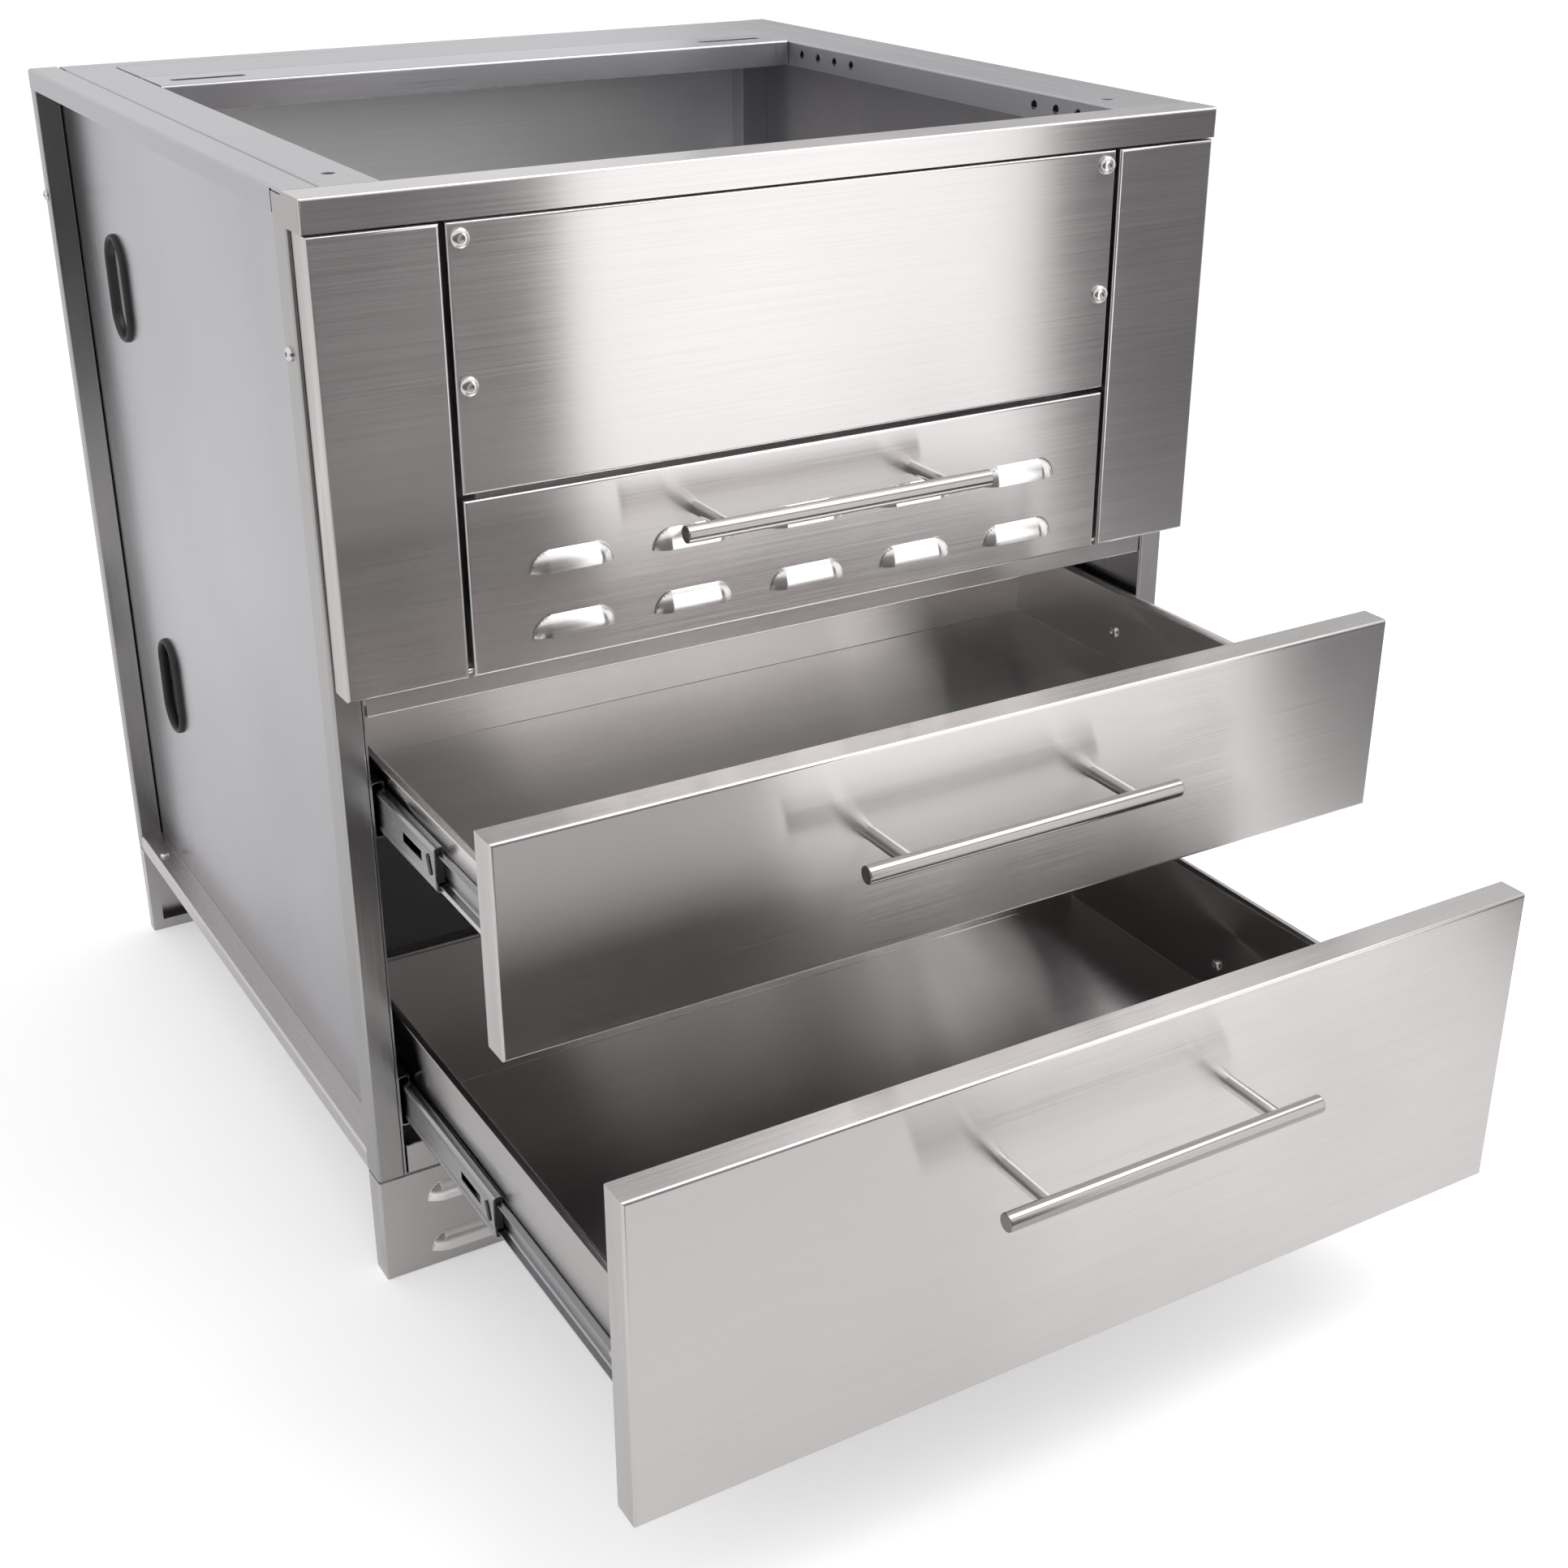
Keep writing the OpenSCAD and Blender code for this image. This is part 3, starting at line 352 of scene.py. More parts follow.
def finish_piece(piece, body, nodes, material):
    """Gives a finished piece its body and the CAD nodes it stands for."""
    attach(piece, body)
    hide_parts(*nodes)
    piece.data.materials.clear()
    piece.data.materials.append(material)
    made.append(piece.name)


def coat(piece, material, test):
    """Gives the faces that pass the test a second material."""
    piece.data.materials.append(material)
    for face in piece.data.polygons:
        if test(face.center / MM, face.normal):
            face.material_index = len(piece.data.materials) - 1


# %% [markdown]
# ## Steel
# Brushed steel is a metal whose fine scratches all run one way. They blur the reflections
# strongly across the grain and hardly along it, so the shader is anisotropic, and its
# tangent turns round the grain's own axis. Two noises add what is seen from close by: long
# thin ones for the scratches, and wide soft ones for smudges and the sheet's slight waves.

# %% Shader helpers
NOISE_MIDDLE = (0.3, 0.7)


def new_look(name):
    """A new material, its tree and its main shader."""
    material = bpy.data.materials.new(name)
    material.use_nodes = True
    return material, material.node_tree, material.node_tree.nodes["Principled BSDF"]


def node_of(tree, kind, **values):
    """A new shader node with attributes set by name."""
    made_node = tree.nodes.new(kind)
    for key, value in values.items():
        setattr(made_node, key, value)
    return made_node


def noise(tree, place, scale, detail=3.0):
    """A noise over the object's own coordinates, stretched by a scale along X, Y and Z."""
    stretch = node_of(tree, "ShaderNodeMapping")
    stretch.inputs["Scale"].default_value = scale
    tree.links.new(place.outputs["Object"], stretch.inputs["Vector"])
    texture = node_of(tree, "ShaderNodeTexNoise")
    texture.inputs["Scale"].default_value = 1.0
    texture.inputs["Detail"].default_value = detail
    tree.links.new(stretch.outputs["Vector"], texture.inputs["Vector"])
    return texture.outputs["Fac"]


def spread(tree, source, low, high):
    """Maps a noise's middle range to low..high."""
    ranged = node_of(tree, "ShaderNodeMapRange")
    values = (*NOISE_MIDDLE, low, high)
    for key, value in zip(("From Min", "From Max", "To Min", "To Max"), values):
        ranged.inputs[key].default_value = value
    tree.links.new(source, ranged.inputs["Value"])
    return ranged.outputs["Result"]


def combine(tree, operation, first, second):
    """Joins two values with a math node."""
    joint = node_of(tree, "ShaderNodeMath", operation=operation)
    tree.links.new(first, joint.inputs[0])
    tree.links.new(second, joint.inputs[1])
    return joint.outputs[0]


def bump(tree, height, strength, distance, below=None):
    """A bump of a distance in metres, on top of another bump where one is given."""
    relief = node_of(tree, "ShaderNodeBump")
    relief.inputs["Strength"].default_value = strength
    relief.inputs["Distance"].default_value = distance
    tree.links.new(height, relief.inputs["Height"])
    if below is not None:
        tree.links.new(below, relief.inputs["Normal"])
    return relief.outputs["Normal"]


# %% Brushed steel
# Noise scales per metre: brush lines along each axis, soft smudges, and waves in the sheet.
GRAIN = {"X": (8, 1500, 1500), "Y": (1500, 8, 1500), "Z": (1500, 1500, 8)}
SMUDGES = (5, 5, 5)
WAVES = (3, 3, 3)
WAVE_DEPTH = 0.004
LINE_DEPTH = 0.0002


def steel(name, colour, roughness, grain="X", aniso=0.9, streak=0.05, smudge=0.04, wave=0.04,
          scratch=0.004, blur=0.02, turned=False):
    """Stainless steel, brushed along one axis or turned round it; aniso 0 makes it plain."""
    material, tree, shader = new_look(name)
    shader.inputs["Metallic"].default_value = 1.0
    shader.inputs["Anisotropic"].default_value = aniso
    shader.inputs["Anisotropic Rotation"].default_value = 0.25 if turned else 0.0
    place = node_of(tree, "ShaderNodeTexCoord")
    lines = noise(tree, place, GRAIN[grain], 5.0)
    cloud = noise(tree, place, SMUDGES)
    shade = combine(tree, "MULTIPLY", spread(tree, lines, 1 - streak, 1 + streak),
                    spread(tree, cloud, 1 - smudge, 1 + smudge))
    tint = node_of(tree, "ShaderNodeVectorMath", operation="SCALE")
    tint.inputs[0].default_value = colour
    tree.links.new(shade, tint.inputs["Scale"])
    tree.links.new(tint.outputs[0], shader.inputs["Base Color"])
    polish = combine(tree, "ADD", spread(tree, lines, -blur, blur),
                     spread(tree, cloud, roughness - blur, roughness + blur))
    tree.links.new(polish, shader.inputs["Roughness"])
    if aniso:
        across = node_of(tree, "ShaderNodeTangent", direction_type="RADIAL", axis=grain)
        tree.links.new(across.outputs["Tangent"], shader.inputs["Tangent"])
    hills = bump(tree, noise(tree, place, WAVES, 0.0), wave, WAVE_DEPTH)
    tree.links.new(bump(tree, lines, scratch, LINE_DEPTH, hills), shader.inputs["Normal"])
    return material


# %% The steels of this cabinet
# Each one gives a colour, a roughness, the way of its grain and how strongly it is brushed.
WARM = (0.59, 0.567, 0.565)
COOL = (0.47, 0.463, 0.485)
LATHE = {"streak": 0.02, "wave": 0, "scratch": 0}
front_steel = steel("brushed_front", WARM, 0.21, "X", 1.0)
# Much lighter copy of the front steel: a painted highlight on the louvre hoods.
lit_hood_steel = steel("lit_hood_steel", (0.92, 0.90, 0.89), 0.2, "X", 0.8)
frame_steel = steel("frame_steel", WARM, 0.21, "X", 0.95)
# Darker copy of the warm steel: painted shade on the posts.
shaded_post_steel = steel("shaded_post_steel", (0.42, 0.411, 0.407), 0.25, "Z", 0.7)
side_rail_steel = steel("side_rail_steel", WARM, 0.27, "Y", 0.9)
top_x_steel = steel("top_steel_across", COOL, 0.42, "X", 0.3)
top_y_steel = steel("top_steel_along", COOL, 0.42, "Y", 0.3)
slotted_steel = steel("slotted_steel", COOL, 0.24, "X", 0.9)
panel_steel = steel("panel_steel", (0.465, 0.455, 0.48), 0.25, "Z", 0.3, streak=0.02,
                    smudge=0.08)
# Lighter copy of the box steel: painted reflection on the upper box.
lit_upper_box_steel = steel("box_steel", (0.775, 0.752, 0.744), 0.2, "X", 1.0)
lower_box_steel = steel("lower_box_steel", (0.565, 0.548, 0.542), 0.2, "X", 1.0)
# Very pale steel: painted light inside the well.
lit_well_steel = steel("lit_well_steel", (0.90, 0.895, 0.90), 0.5, "X", 0.1)
inner_steel = steel("inner_steel", (0.50, 0.495, 0.51), 0.45, "X", 0.1)
# Near-black steel: painted shade inside the channels and in the seams.
painted_shade_steel = steel("painted_shade_steel", (0.05, 0.05, 0.05), 0.6, "X", 0)
# Zinc grey of the slides, darkened further as painted shade inside the cabinet.
shaded_zinc = steel("slide_zinc", (0.38, 0.38, 0.39), 0.26, "Y", 0.6)
# One polished steel in two copies: the bars painted dark as painted shade, the posts painted
# light as a painted highlight.
polished = steel("handle_steel", (0.33, 0.32, 0.31), 0.11, "X", 0.95, turned=True, **LATHE)
lit_post_polish = steel("lit_handle_post_steel", (0.88, 0.86, 0.85), 0.12, "Y", 0.9, turned=True,
                    **LATHE)
screw_steel = steel("screw_steel", (0.68, 0.67, 0.66), 0.2, "X", 0, **LATHE)
print("steels made, from", front_steel.name, "to", screw_steel.name)


# %% Black plastic and rubber
def plastic(name, colour, roughness):
    """Moulded black plastic or rubber with a faint grain."""
    material, tree, shader = new_look(name)
    shader.inputs["Base Color"].default_value = (*colour, 1)
    place = node_of(tree, "ShaderNodeTexCoord")
    grain = noise(tree, place, (900, 900, 900))
    tree.links.new(spread(tree, grain, roughness - 0.06, roughness + 0.06),
                   shader.inputs["Roughness"])
    tree.links.new(bump(tree, grain, 0.1, LINE_DEPTH), shader.inputs["Normal"])
    return material


black_plastic = plastic("black_plastic", (0.02, 0.02, 0.02), 0.45)
rubber = plastic("rubber_black", (0.015, 0.015, 0.016), 0.5)
print("black finishes made:", black_plastic.name, "and", rubber.name)

# %% [markdown]
# ## The folded fronts
# The fixed fronts are trays: the face is folded back on all four sides, and each side ends
# in a narrow lip. The door and the drawer fronts are the same trays without lips. All folds
# round the face have a radius of 2.5 mm, which shows as a bright line along every edge.

# %% Fixed fronts and drawer fronts
FACE_FOLDS = ["-y-x", "-y+x", "-y-z", "-y+z"]
LIP_FOLDS = ["+y-x", "+y+x", "+y-z", "+y+z"]
FRONT_LIP = 18


def tray(name, low, high, lip):
    """A folded front whose face looks forward."""
    folds = {FOLD: FACE_FOLDS}
    if lip:
        folds[BEND] = LIP_FOLDS
    return fold(name, low, high, ["+y"], folds, lip)


for node, body, lip in (
    ("side_front_left", "cabinet", FRONT_LIP),
    ("side_front_right", "cabinet", FRONT_LIP),
    ("middle_front", "cabinet", FRONT_LIP),
    ("upper_front", "upper_drawer", 0),
    ("lower_front", "lower_drawer", 0),
):
    piece = tray(node + "_folded", *box_of(node), lip)
    soften(piece)
    finish_piece(piece, body, [node], front_steel)
print("folded fronts:", made)

# %% [markdown]
# ## The louvres
# A louvre is a slit in the sheet whose upper edge is pressed out into a hood, so that air
# gets in and rain stays out. Its form is a stretched dome: half of a sphere at each end
# and a straight roll between them. So it starts as a sphere, the two halves are moved
# apart, and everything behind the plate and below the mouth is cut off. A narrow rim
# round the hood lies on the plate, and the bend between them is bevelled, as in a press.

# %% Model one louvre
# The dome's centre lies behind the plate, and the plate cuts it at the hood's height.
DOME_RADIUS = 24.33
DOME_BEHIND = 18.33
HOOD_HEIGHT = 16
HOOD_REACH = 17.25
HOOD_BEND = 1.0
HOOD_SHEET = 1.2
RIM_GROWTH = (1.045, 1, 1.1)
bpy.ops.object.select_all(action="DESELECT")
bpy.ops.mesh.primitive_uv_sphere_add(
    segments=64, ring_count=48, radius=DOME_RADIUS * MM, location=(0, DOME_BEHIND * MM, 0)
)
hood = keep_place("hood")
edit(hood)
pull_apart(HOOD_REACH)
for normal in ((0, 1, 0), (0, 0, -1)):
    bpy.ops.mesh.select_all(action="SELECT")
    bpy.ops.mesh.bisect(plane_co=(0, 0, 0), plane_no=normal, clear_outer=True)
pick("EDGE", lambda middle, way: abs(middle.y) < 0.01 and middle.z > 0.01)
bpy.ops.mesh.extrude_edges_move()
bpy.ops.transform.resize(value=RIM_GROWTH, center_override=(0, 0, 0))
pick("EDGE", lambda middle, way: abs(middle.y) < 0.01 and middle.z > 0.01
     and abs(math.hypot(max(abs(middle.x) - HOOD_REACH, 0), middle.z) - HOOD_HEIGHT) < 0.25
     and abs(way.y) < 0.1)
round_edges(HOOD_BEND, 3)
bpy.ops.mesh.select_all(action="SELECT")
bpy.ops.mesh.normals_make_consistent(inside=True)
done()
print("louvre:", len(hood.data.polygons), "faces, box",
      [round(v / MM, 2) for v in hood.dimensions])
modify(hood, "SOLIDIFY", thickness=HOOD_SHEET * MM, offset=-1)

# %% [markdown]
# ## Plates with louvres
# The door and the front kick plate carry two rows of louvres each. The plate is pierced
# under every hood with one cutter, half of a long hole, which is copied like the hood.
# The hoods are painted much lighter than the plate, as a painted highlight.

# %% Model the cutter
mouth = start_rod("mouth", "y", (0, 0, 0), HOOD_HEIGHT, 12)
edit(mouth)
pull_apart(HOOD_REACH)
bpy.ops.mesh.select_all(action="SELECT")
bpy.ops.mesh.bisect(plane_co=(0, 0, 0), plane_no=(0, 0, -1), clear_outer=True, use_fill=True)
done()
print("cutter:", [round(v / MM, 2) for v in mouth.dimensions])

# %% Pierce the plates and set the hoods
# What stands out of a plate by more than this is a hood.
PRESSED_OUT = 0.3
DOOR_LOW, DOOR_HIGH = (-281.5, -29, 525), (281.5, -3, 658)
KICK_LOW, KICK_HIGH = (-381, 0, 0), (381, 24, 95.5)
DOOR_FACE, KICK_FACE = DOOR_LOW[1], KICK_LOW[1]


def louvred(piece, face_y, columns, pitch, rows):
    """Pierces a plate and puts a hood over every hole."""
    spots = [
        ((i - (columns - 1) / 2) * pitch, face_y - 0.05, z) for z in rows for i in range(columns)
    ]
    cut(piece, [copied(mouth, "hole", spot) for spot in spots])
    hoods = [copied(hood, "hood_copy", spot) for spot in spots]
    soften(piece)
    for one in hoods:
        smooth(one, 50)
    print(piece.name, "louvres:", len(spots))
    return joined(piece.name, [piece] + hoods)


door = tray("vent_door_louvred", DOOR_LOW, DOOR_HIGH, 0)
door = louvred(door, DOOR_FACE, columns=5, pitch=100.3, rows=(545.5, 595.5))
finish_piece(door, "vent_door", ["vent_door"], front_steel)
coat(door, lit_hood_steel, lambda middle, way: middle.y < DOOR_FACE - PRESSED_OUT)
kick = fold("front_plinth_louvred", KICK_LOW, KICK_HIGH, ["+y"], {BEND: FACE_FOLDS})
kick = louvred(kick, KICK_FACE, columns=7, pitch=102.8, rows=(15, 65))
finish_piece(kick, "cabinet", ["front_plinth"], frame_steel)
coat(kick, lit_hood_steel, lambda middle, way: middle.y < KICK_FACE - PRESSED_OUT)
for spare in (hood, mouth):
    bpy.data.objects.remove(spare, do_unlink=True)

# %% [markdown]
# ## The top frame
# Channels that open downwards lie round the well: a rail across the front, a rim along
# each outer side, a rail beside the well on each side, and three strips across the back.
# The edges towards the well are rolled. Inside, and where two channels meet, the sheet
# is painted near-black as painted shade, so the seams and holes show as dark grooves and spots.

# %% Front rail
DOWN = ["-z"]


def paint_shade_inside(piece, node, seams):
    """Paints shade inside a channel and on the sides that face a seam, with near-black steel."""
    low, high = box_of(node)
    tests = [side_test(low, high, side) for side in seams]
    edge = SHEET - 0.3

    def hidden(middle, way):
        inside = middle.z < high[2] - edge and all(
            low[i] + edge < middle[i] < high[i] - edge for i in (0, 1))
        return inside or any(test(middle, way) for test in tests)

    coat(piece, painted_shade_steel, hidden)


rail = fold_node("front_top_rail", DOWN, {FOLD: ["-y-x", "-y+x", "-y+z"], BEND: ["+y+z"]})
soften(rail)
finish_piece(rail, "cabinet", ["front_top_rail"], frame_steel)
# The rail's end faces get the darker post steel as painted shade.
coat(rail, shaded_post_steel, lambda middle, way: abs(way.x) > ALONG)
print("front rail:", rail.name)

# %% Rims and rails at the sides
# The rims are notched over the front posts: near and far from the middle, then y and z.
# The rails have a row of holes in the skirt and a hole over the threaded nut.
RIM_NOTCH = (378, 382, (3, 26), (850, 874.8))
SKIRT_X, ROW_Z, ROW_RADIUS = 310, 864.65, 4
ROW_YS = (30, 60, 90, 120, 409, 439, 469, 499)
COUNTER_NUT_X, COUNTER_NUT_Y = 331.65, 50
for side, sign, out, into in SIDES:
    node = "rim_" + side
    piece = fold_node(node, DOWN + ["-y"], {FOLD: ["+z" + out], BEND: ["+z" + into]})
    cut(piece, [side_block("notch", sign, *RIM_NOTCH)])
    soften(piece)
    finish_piece(piece, "cabinet", [node], top_y_steel)
    paint_shade_inside(piece, node, [into])

    node = "top_rail_" + side
    piece = fold_node(node, DOWN + ["-y", "+y"], {FOLD: ["+z" + into], BEND: ["+z" + out]})
    holes = [start_rod("hole", "x", (sign * SKIRT_X, y, ROW_Z), ROW_RADIUS, 6, 32)
             for y in ROW_YS]
    holes.append(start_rod("hole", "z", (sign * COUNTER_NUT_X, COUNTER_NUT_Y, 876), 4.9, 8))
    cut(piece, holes)
    soften(piece)
    finish_piece(piece, "cabinet", [node], top_y_steel)
    paint_shade_inside(piece, node, [out])
print("side channels done, pieces so far:", len(made))

# %% Strips across the back
# The strip beside the well holds the worktop in two long slots.
SLOT_X, SLOT_Y, SLOT_RADIUS, SLOT_REACH = 259.5, 554, 5.5, 28.25
REAR_BEND = 1.61


def worktop_slots():
    """The two shapes that cut the slots."""
    slots = []
    for sign in (-1, 1):
        slot = start_rod("slot", "z", (0, SLOT_Y, 875), SLOT_RADIUS, 10)
        edit(slot)
        pull_apart(SLOT_REACH)
        bpy.ops.mesh.select_all(action="SELECT")
        shift(sign * SLOT_X, 0, 0)
        done()
        slots.append(slot)
    return slots


for node, front_bend, seams, material in (
    ("rear_rim", BEND, ["-y"], top_x_steel),
    ("rear_filler", BEND, ["-y", "+y"], top_x_steel),
    ("slotted_rail", FOLD, ["+y"], slotted_steel),
):
    piece = fold_node(node, DOWN + ["-x", "+x"], {front_bend: ["-y+z"], REAR_BEND: ["+y+z"]})
    if node == "slotted_rail":
        cut(piece, worktop_slots())
    soften(piece)
    finish_piece(piece, "cabinet", [node], material)
    paint_shade_inside(piece, node, seams)
print("top frame done, pieces so far:", len(made))

# %% [markdown]
# ## Posts and rails
# The posts are channels: the front ones open backwards, the rear ones open inwards and
# keep a narrow face that looks forward. Between them run the bottom rails and the two
# cross rails at the front. They are folded in the same way.

# %% Posts, rails and the rear kick plate
# Notches where other sheets pass the posts: near and far from the middle, then y and z.
FRONT_POST_NOTCHES = (
    (355, 385, (-1, 5), (853, 876)),
    (359.5, 384, (4, 26), (873.5, 876)),
)
REAR_LIP_X = 360.15
REAR_POST_NOTCH = (357, REAR_LIP_X, (678, 681.5), (96, 860))
REAR_PLINTH_LIP = 11
for side, sign, out, into in SIDES:
    node = "front_post_" + side
    piece = fold_node(node, ["+y", "-z", "+z"], {FOLD: ["-y" + out], BEND: ["-y" + into]})
    for notch in FRONT_POST_NOTCHES:
        cut(piece, [side_block("notch", sign, *notch)])
    soften(piece)
    finish_piece(piece, "cabinet", [node], shaded_post_steel)

    node = "rear_post_" + side
    front_y = box_of(node)[0][1]
    piece = fold_node(node, [into, "-z", "+z"], {BEND: ["-y" + out, "+y" + out]})
    cut(piece, [side_block("notch", sign, *REAR_POST_NOTCH)])
    edit(piece)
    pick("EDGE", lambda middle, way: abs(abs(middle.x) - REAR_LIP_X) < NEAR
         and abs(way.z) > ALONG and abs(middle.y - front_y) < NEAR)
    round_edges(0.8, 3)
    done()
    soften(piece)
    finish_piece(piece, "cabinet", [node], shaded_post_steel)

    node = "bottom_rail_" + side
    piece = fold_node(node, ["-z", into, "-y", "+y"], {FOLD: ["+z" + out]})
    soften(piece)
    finish_piece(piece, "cabinet", [node], side_rail_steel)

for node in ("low_front_rail", "mid_front_rail"):
    piece = fold_node(node, ["+y", "-x", "+x"], {BEND: ["-y-z", "-y+z"]})
    soften(piece)
    finish_piece(piece, "cabinet", [node], frame_steel)

piece = fold_node("rear_plinth", ["-y"], {BEND: LIP_FOLDS}, REAR_PLINTH_LIP)
soften(piece)
finish_piece(piece, "cabinet", ["rear_plinth"], frame_steel)
print("carcass done, pieces so far:", len(made))

# %% [markdown]
# ## Handles
# Each handle is a polished bar with chamfered ends on two round posts. A rod is enough of
# a start: its end faces are inset, and the edge round them is bevelled, as on a lathe. The
# posts get a foot with a broken edge, and a stud with a nut behind the front.

# %% Handles
# Each handle's body, the y of the face that it stands on, and its height.
HANDLES = {
    "door": ("vent_door", DOOR_FACE, 623.3),
    "upper": ("upper_drawer", -276, 458.3),
    "lower": ("lower_drawer", -447, 285.4),
}
BAR_RADIUS, BAR_LENGTH, BAR_REACH = 6.7, 267, 51.5
POST_X, POST_RADIUS, POST_LENGTH = 97, 5.4, 48
STUD_RADIUS, STUD_LENGTH = 3, 8
NUT_RADIUS, NUT_HEIGHT = 5.5, 4
for name, (body, face_y, z) in HANDLES.items():
    bar_y = face_y - BAR_REACH
    bar = start_rod(name + "_bar_turned", "x", (0, bar_y, z), BAR_RADIUS, BAR_LENGTH, 64)
    edit(bar)
    pick("FACE", lambda middle, way: abs(way.x) > ALONG)
    bpy.ops.mesh.inset(thickness=0.9 * MM, depth=0)
    pick("EDGE", lambda middle, way: abs(abs(middle.x) - BAR_LENGTH / 2) < 0.01
         and math.hypot(middle.y - bar_y, middle.z - z) > BAR_RADIUS - 0.1)
    round_edges(0.8, 2)
    done()
    smooth(bar)
    finish_piece(bar, body, [name + "_handle_bar"], polished)
    posts = []
    for x in (-POST_X, POST_X):
        post = start_rod("post", "y", (x, face_y - POST_LENGTH / 2, z), POST_RADIUS, POST_LENGTH)
        edit(post)
        pick("EDGE", lambda middle, way: abs(middle.y - face_y) < 0.01 and abs(way.y) < 0.1)
        round_edges(0.4, 2)
        done()
        stud = start_rod(
            "stud", "y", (x, face_y + STUD_LENGTH / 2, z), STUD_RADIUS, STUD_LENGTH, 24)
        nut = start_rod(
            "nut", "y", (x, face_y + SHEET + NUT_HEIGHT / 2, z), NUT_RADIUS, NUT_HEIGHT, 6)
        posts += [post, stud, nut]
    posts = joined(name + "_posts_turned", posts)
    smooth(posts)
    finish_piece(posts, body, [name + "_handle_posts"], lit_post_polish)
print("handles done, pieces so far:", len(made))

# %% [markdown]
# ## Screws
# All the screws have domed heads with a hexagon socket. One head of unit size is turned
# from a rod by a wide round bevel, the socket is cut into it, and each screw is a copy
# that is scaled, turned and moved to its place.

# %% Model one screw
# The unit head is 1 mm high with a radius of 1 mm, and it sits on z = 0.
head = start_rod("head", "z", (0, 0, 0.5), 1, 1)
edit(head)
pick("EDGE", lambda middle, way: abs(middle.z - 1) < 0.01 and abs(way.z) < 0.1)
round_edges(0.72, 8)
done()
cut(head, [start_rod("socket", "z", (0, 0, 0.95), 0.37, 0.9, 6)])
modify(head, "BEVEL", width=0.03 * MM, segments=2, limit_method="ANGLE",
       angle_limit=math.radians(50))
shank = start_rod("shank", "z", (0, 0, -0.5), 0.5, 1.04, 24)
print("unit head:", len(head.data.polygons), "faces")


def screw(radius, height, shank_radius, shank_length, place, turn):
    """A copy of the head and shank with real sizes; turn aims its head's axis."""
    parts = []
    for part, across, along in ((head, radius, height), (shank, 2 * shank_radius, shank_length)):
        twin = copied(part, "screw", (0, 0, 0))
        twin.scale = (across, across, along)
        twin.rotation_euler = turn
        twin.location = [v * MM for v in place]
        choose(twin)
        bpy.ops.object.transform_apply(location=True, rotation=True, scale=True)
        parts.append(twin)
    return joined("screw", parts)


# %% Copy the screws to their places
FORWARD, LEFTWARD, RIGHTWARD = (math.pi / 2, 0, 0), (0, -math.pi / 2, 0), (0, math.pi / 2, 0)
UPWARD = (0, 0, 0)
# Each kind's head radius, head height, shank radius and shank length.
FRONT_SCREW = (7.2, 4.4, 4, 34)
POST_SCREW = (5.25, 3.3, 3, 8)
RAIL_SCREW = (4.5, 2.8, 2.5, 11)
SLIDE_BOLT = (6, 3, 2.5, 3.5)
# Each drawer's bolts: their body, height and places along the slide.
BOLTS = {
    "upper_bolts": ("upper_drawer", 422.2, (-182, 10)),
    "lower_bolts": ("lower_drawer", 164.9, (-353, -161)),
}
screws = {"middle_front_screws": [], "frame_screws": [], "upper_bolts": [], "lower_bolts": []}
for sign, outward, inward in ((-1, LEFTWARD, RIGHTWARD), (1, RIGHTWARD, LEFTWARD)):
    for z in (840.5, 739.5):
        screws["middle_front_screws"].append(
            screw(*FRONT_SCREW, (sign * 272.1, DOOR_FACE, z), FORWARD))
    for y in (15.2, 686.5):
        screws["frame_screws"].append(screw(*POST_SCREW, (sign * 381, y, 766.5), outward))
    screws["frame_screws"].append(screw(*RAIL_SCREW, (sign * 372, 624, 112), UPWARD))
    for node, (body, z, ys) in BOLTS.items():
        for y in ys:
            screws[node].append(screw(*SLIDE_BOLT, (sign * 343.3, y, z), inward))
for node, parts in screws.items():
    piece = joined(node + "_turned", parts)
    smooth(piece)
    body = BOLTS[node][0] if node in BOLTS else "cabinet"
    finish_piece(piece, body, [node], screw_steel)
for spare in (head, shank):
    bpy.data.objects.remove(spare, do_unlink=True)
print("screws done, pieces so far:", len(made))

# %% [markdown]
# ## Grommets
# The cable openings are lined with soft black rubber. A torus is the natural start: it is
# stretched upright into a long hole, and it is made deeper so that it grips the panel.

# %% Grommets
GROMMET_X, GROMMET_Y, GROMMET_ZS = 359.25, 549, (325, 705)
GROMMET_RADIUS, GROMMET_ROLL, GROMMET_REACH = 24, 2.5, 21
rings = []
for sign in (-1, 1):
    for z in GROMMET_ZS:
        x = sign * GROMMET_X
        bpy.ops.object.select_all(action="DESELECT")
        bpy.ops.mesh.primitive_torus_add(
            major_segments=64, minor_segments=20, major_radius=GROMMET_RADIUS * MM,
            minor_radius=GROMMET_ROLL * MM, location=(x * MM, GROMMET_Y * MM, z * MM),
            rotation=TURNS["x"],
        )
        ring = keep_place("ring")
        edit(ring)
        bpy.ops.mesh.select_all(action="SELECT")
        bpy.ops.transform.resize(value=(1.9, 1, 1), center_override=(x * MM, 0, 0))
        pull_apart(GROMMET_REACH, AXIS["z"], z)
        done()
        rings.append(ring)
rings = joined("cable_grommets_moulded", rings)
smooth(rings)
finish_piece(rings, "cabinet", ["cable_grommets"], rubber)
print("grommets done, pieces so far:", len(made))
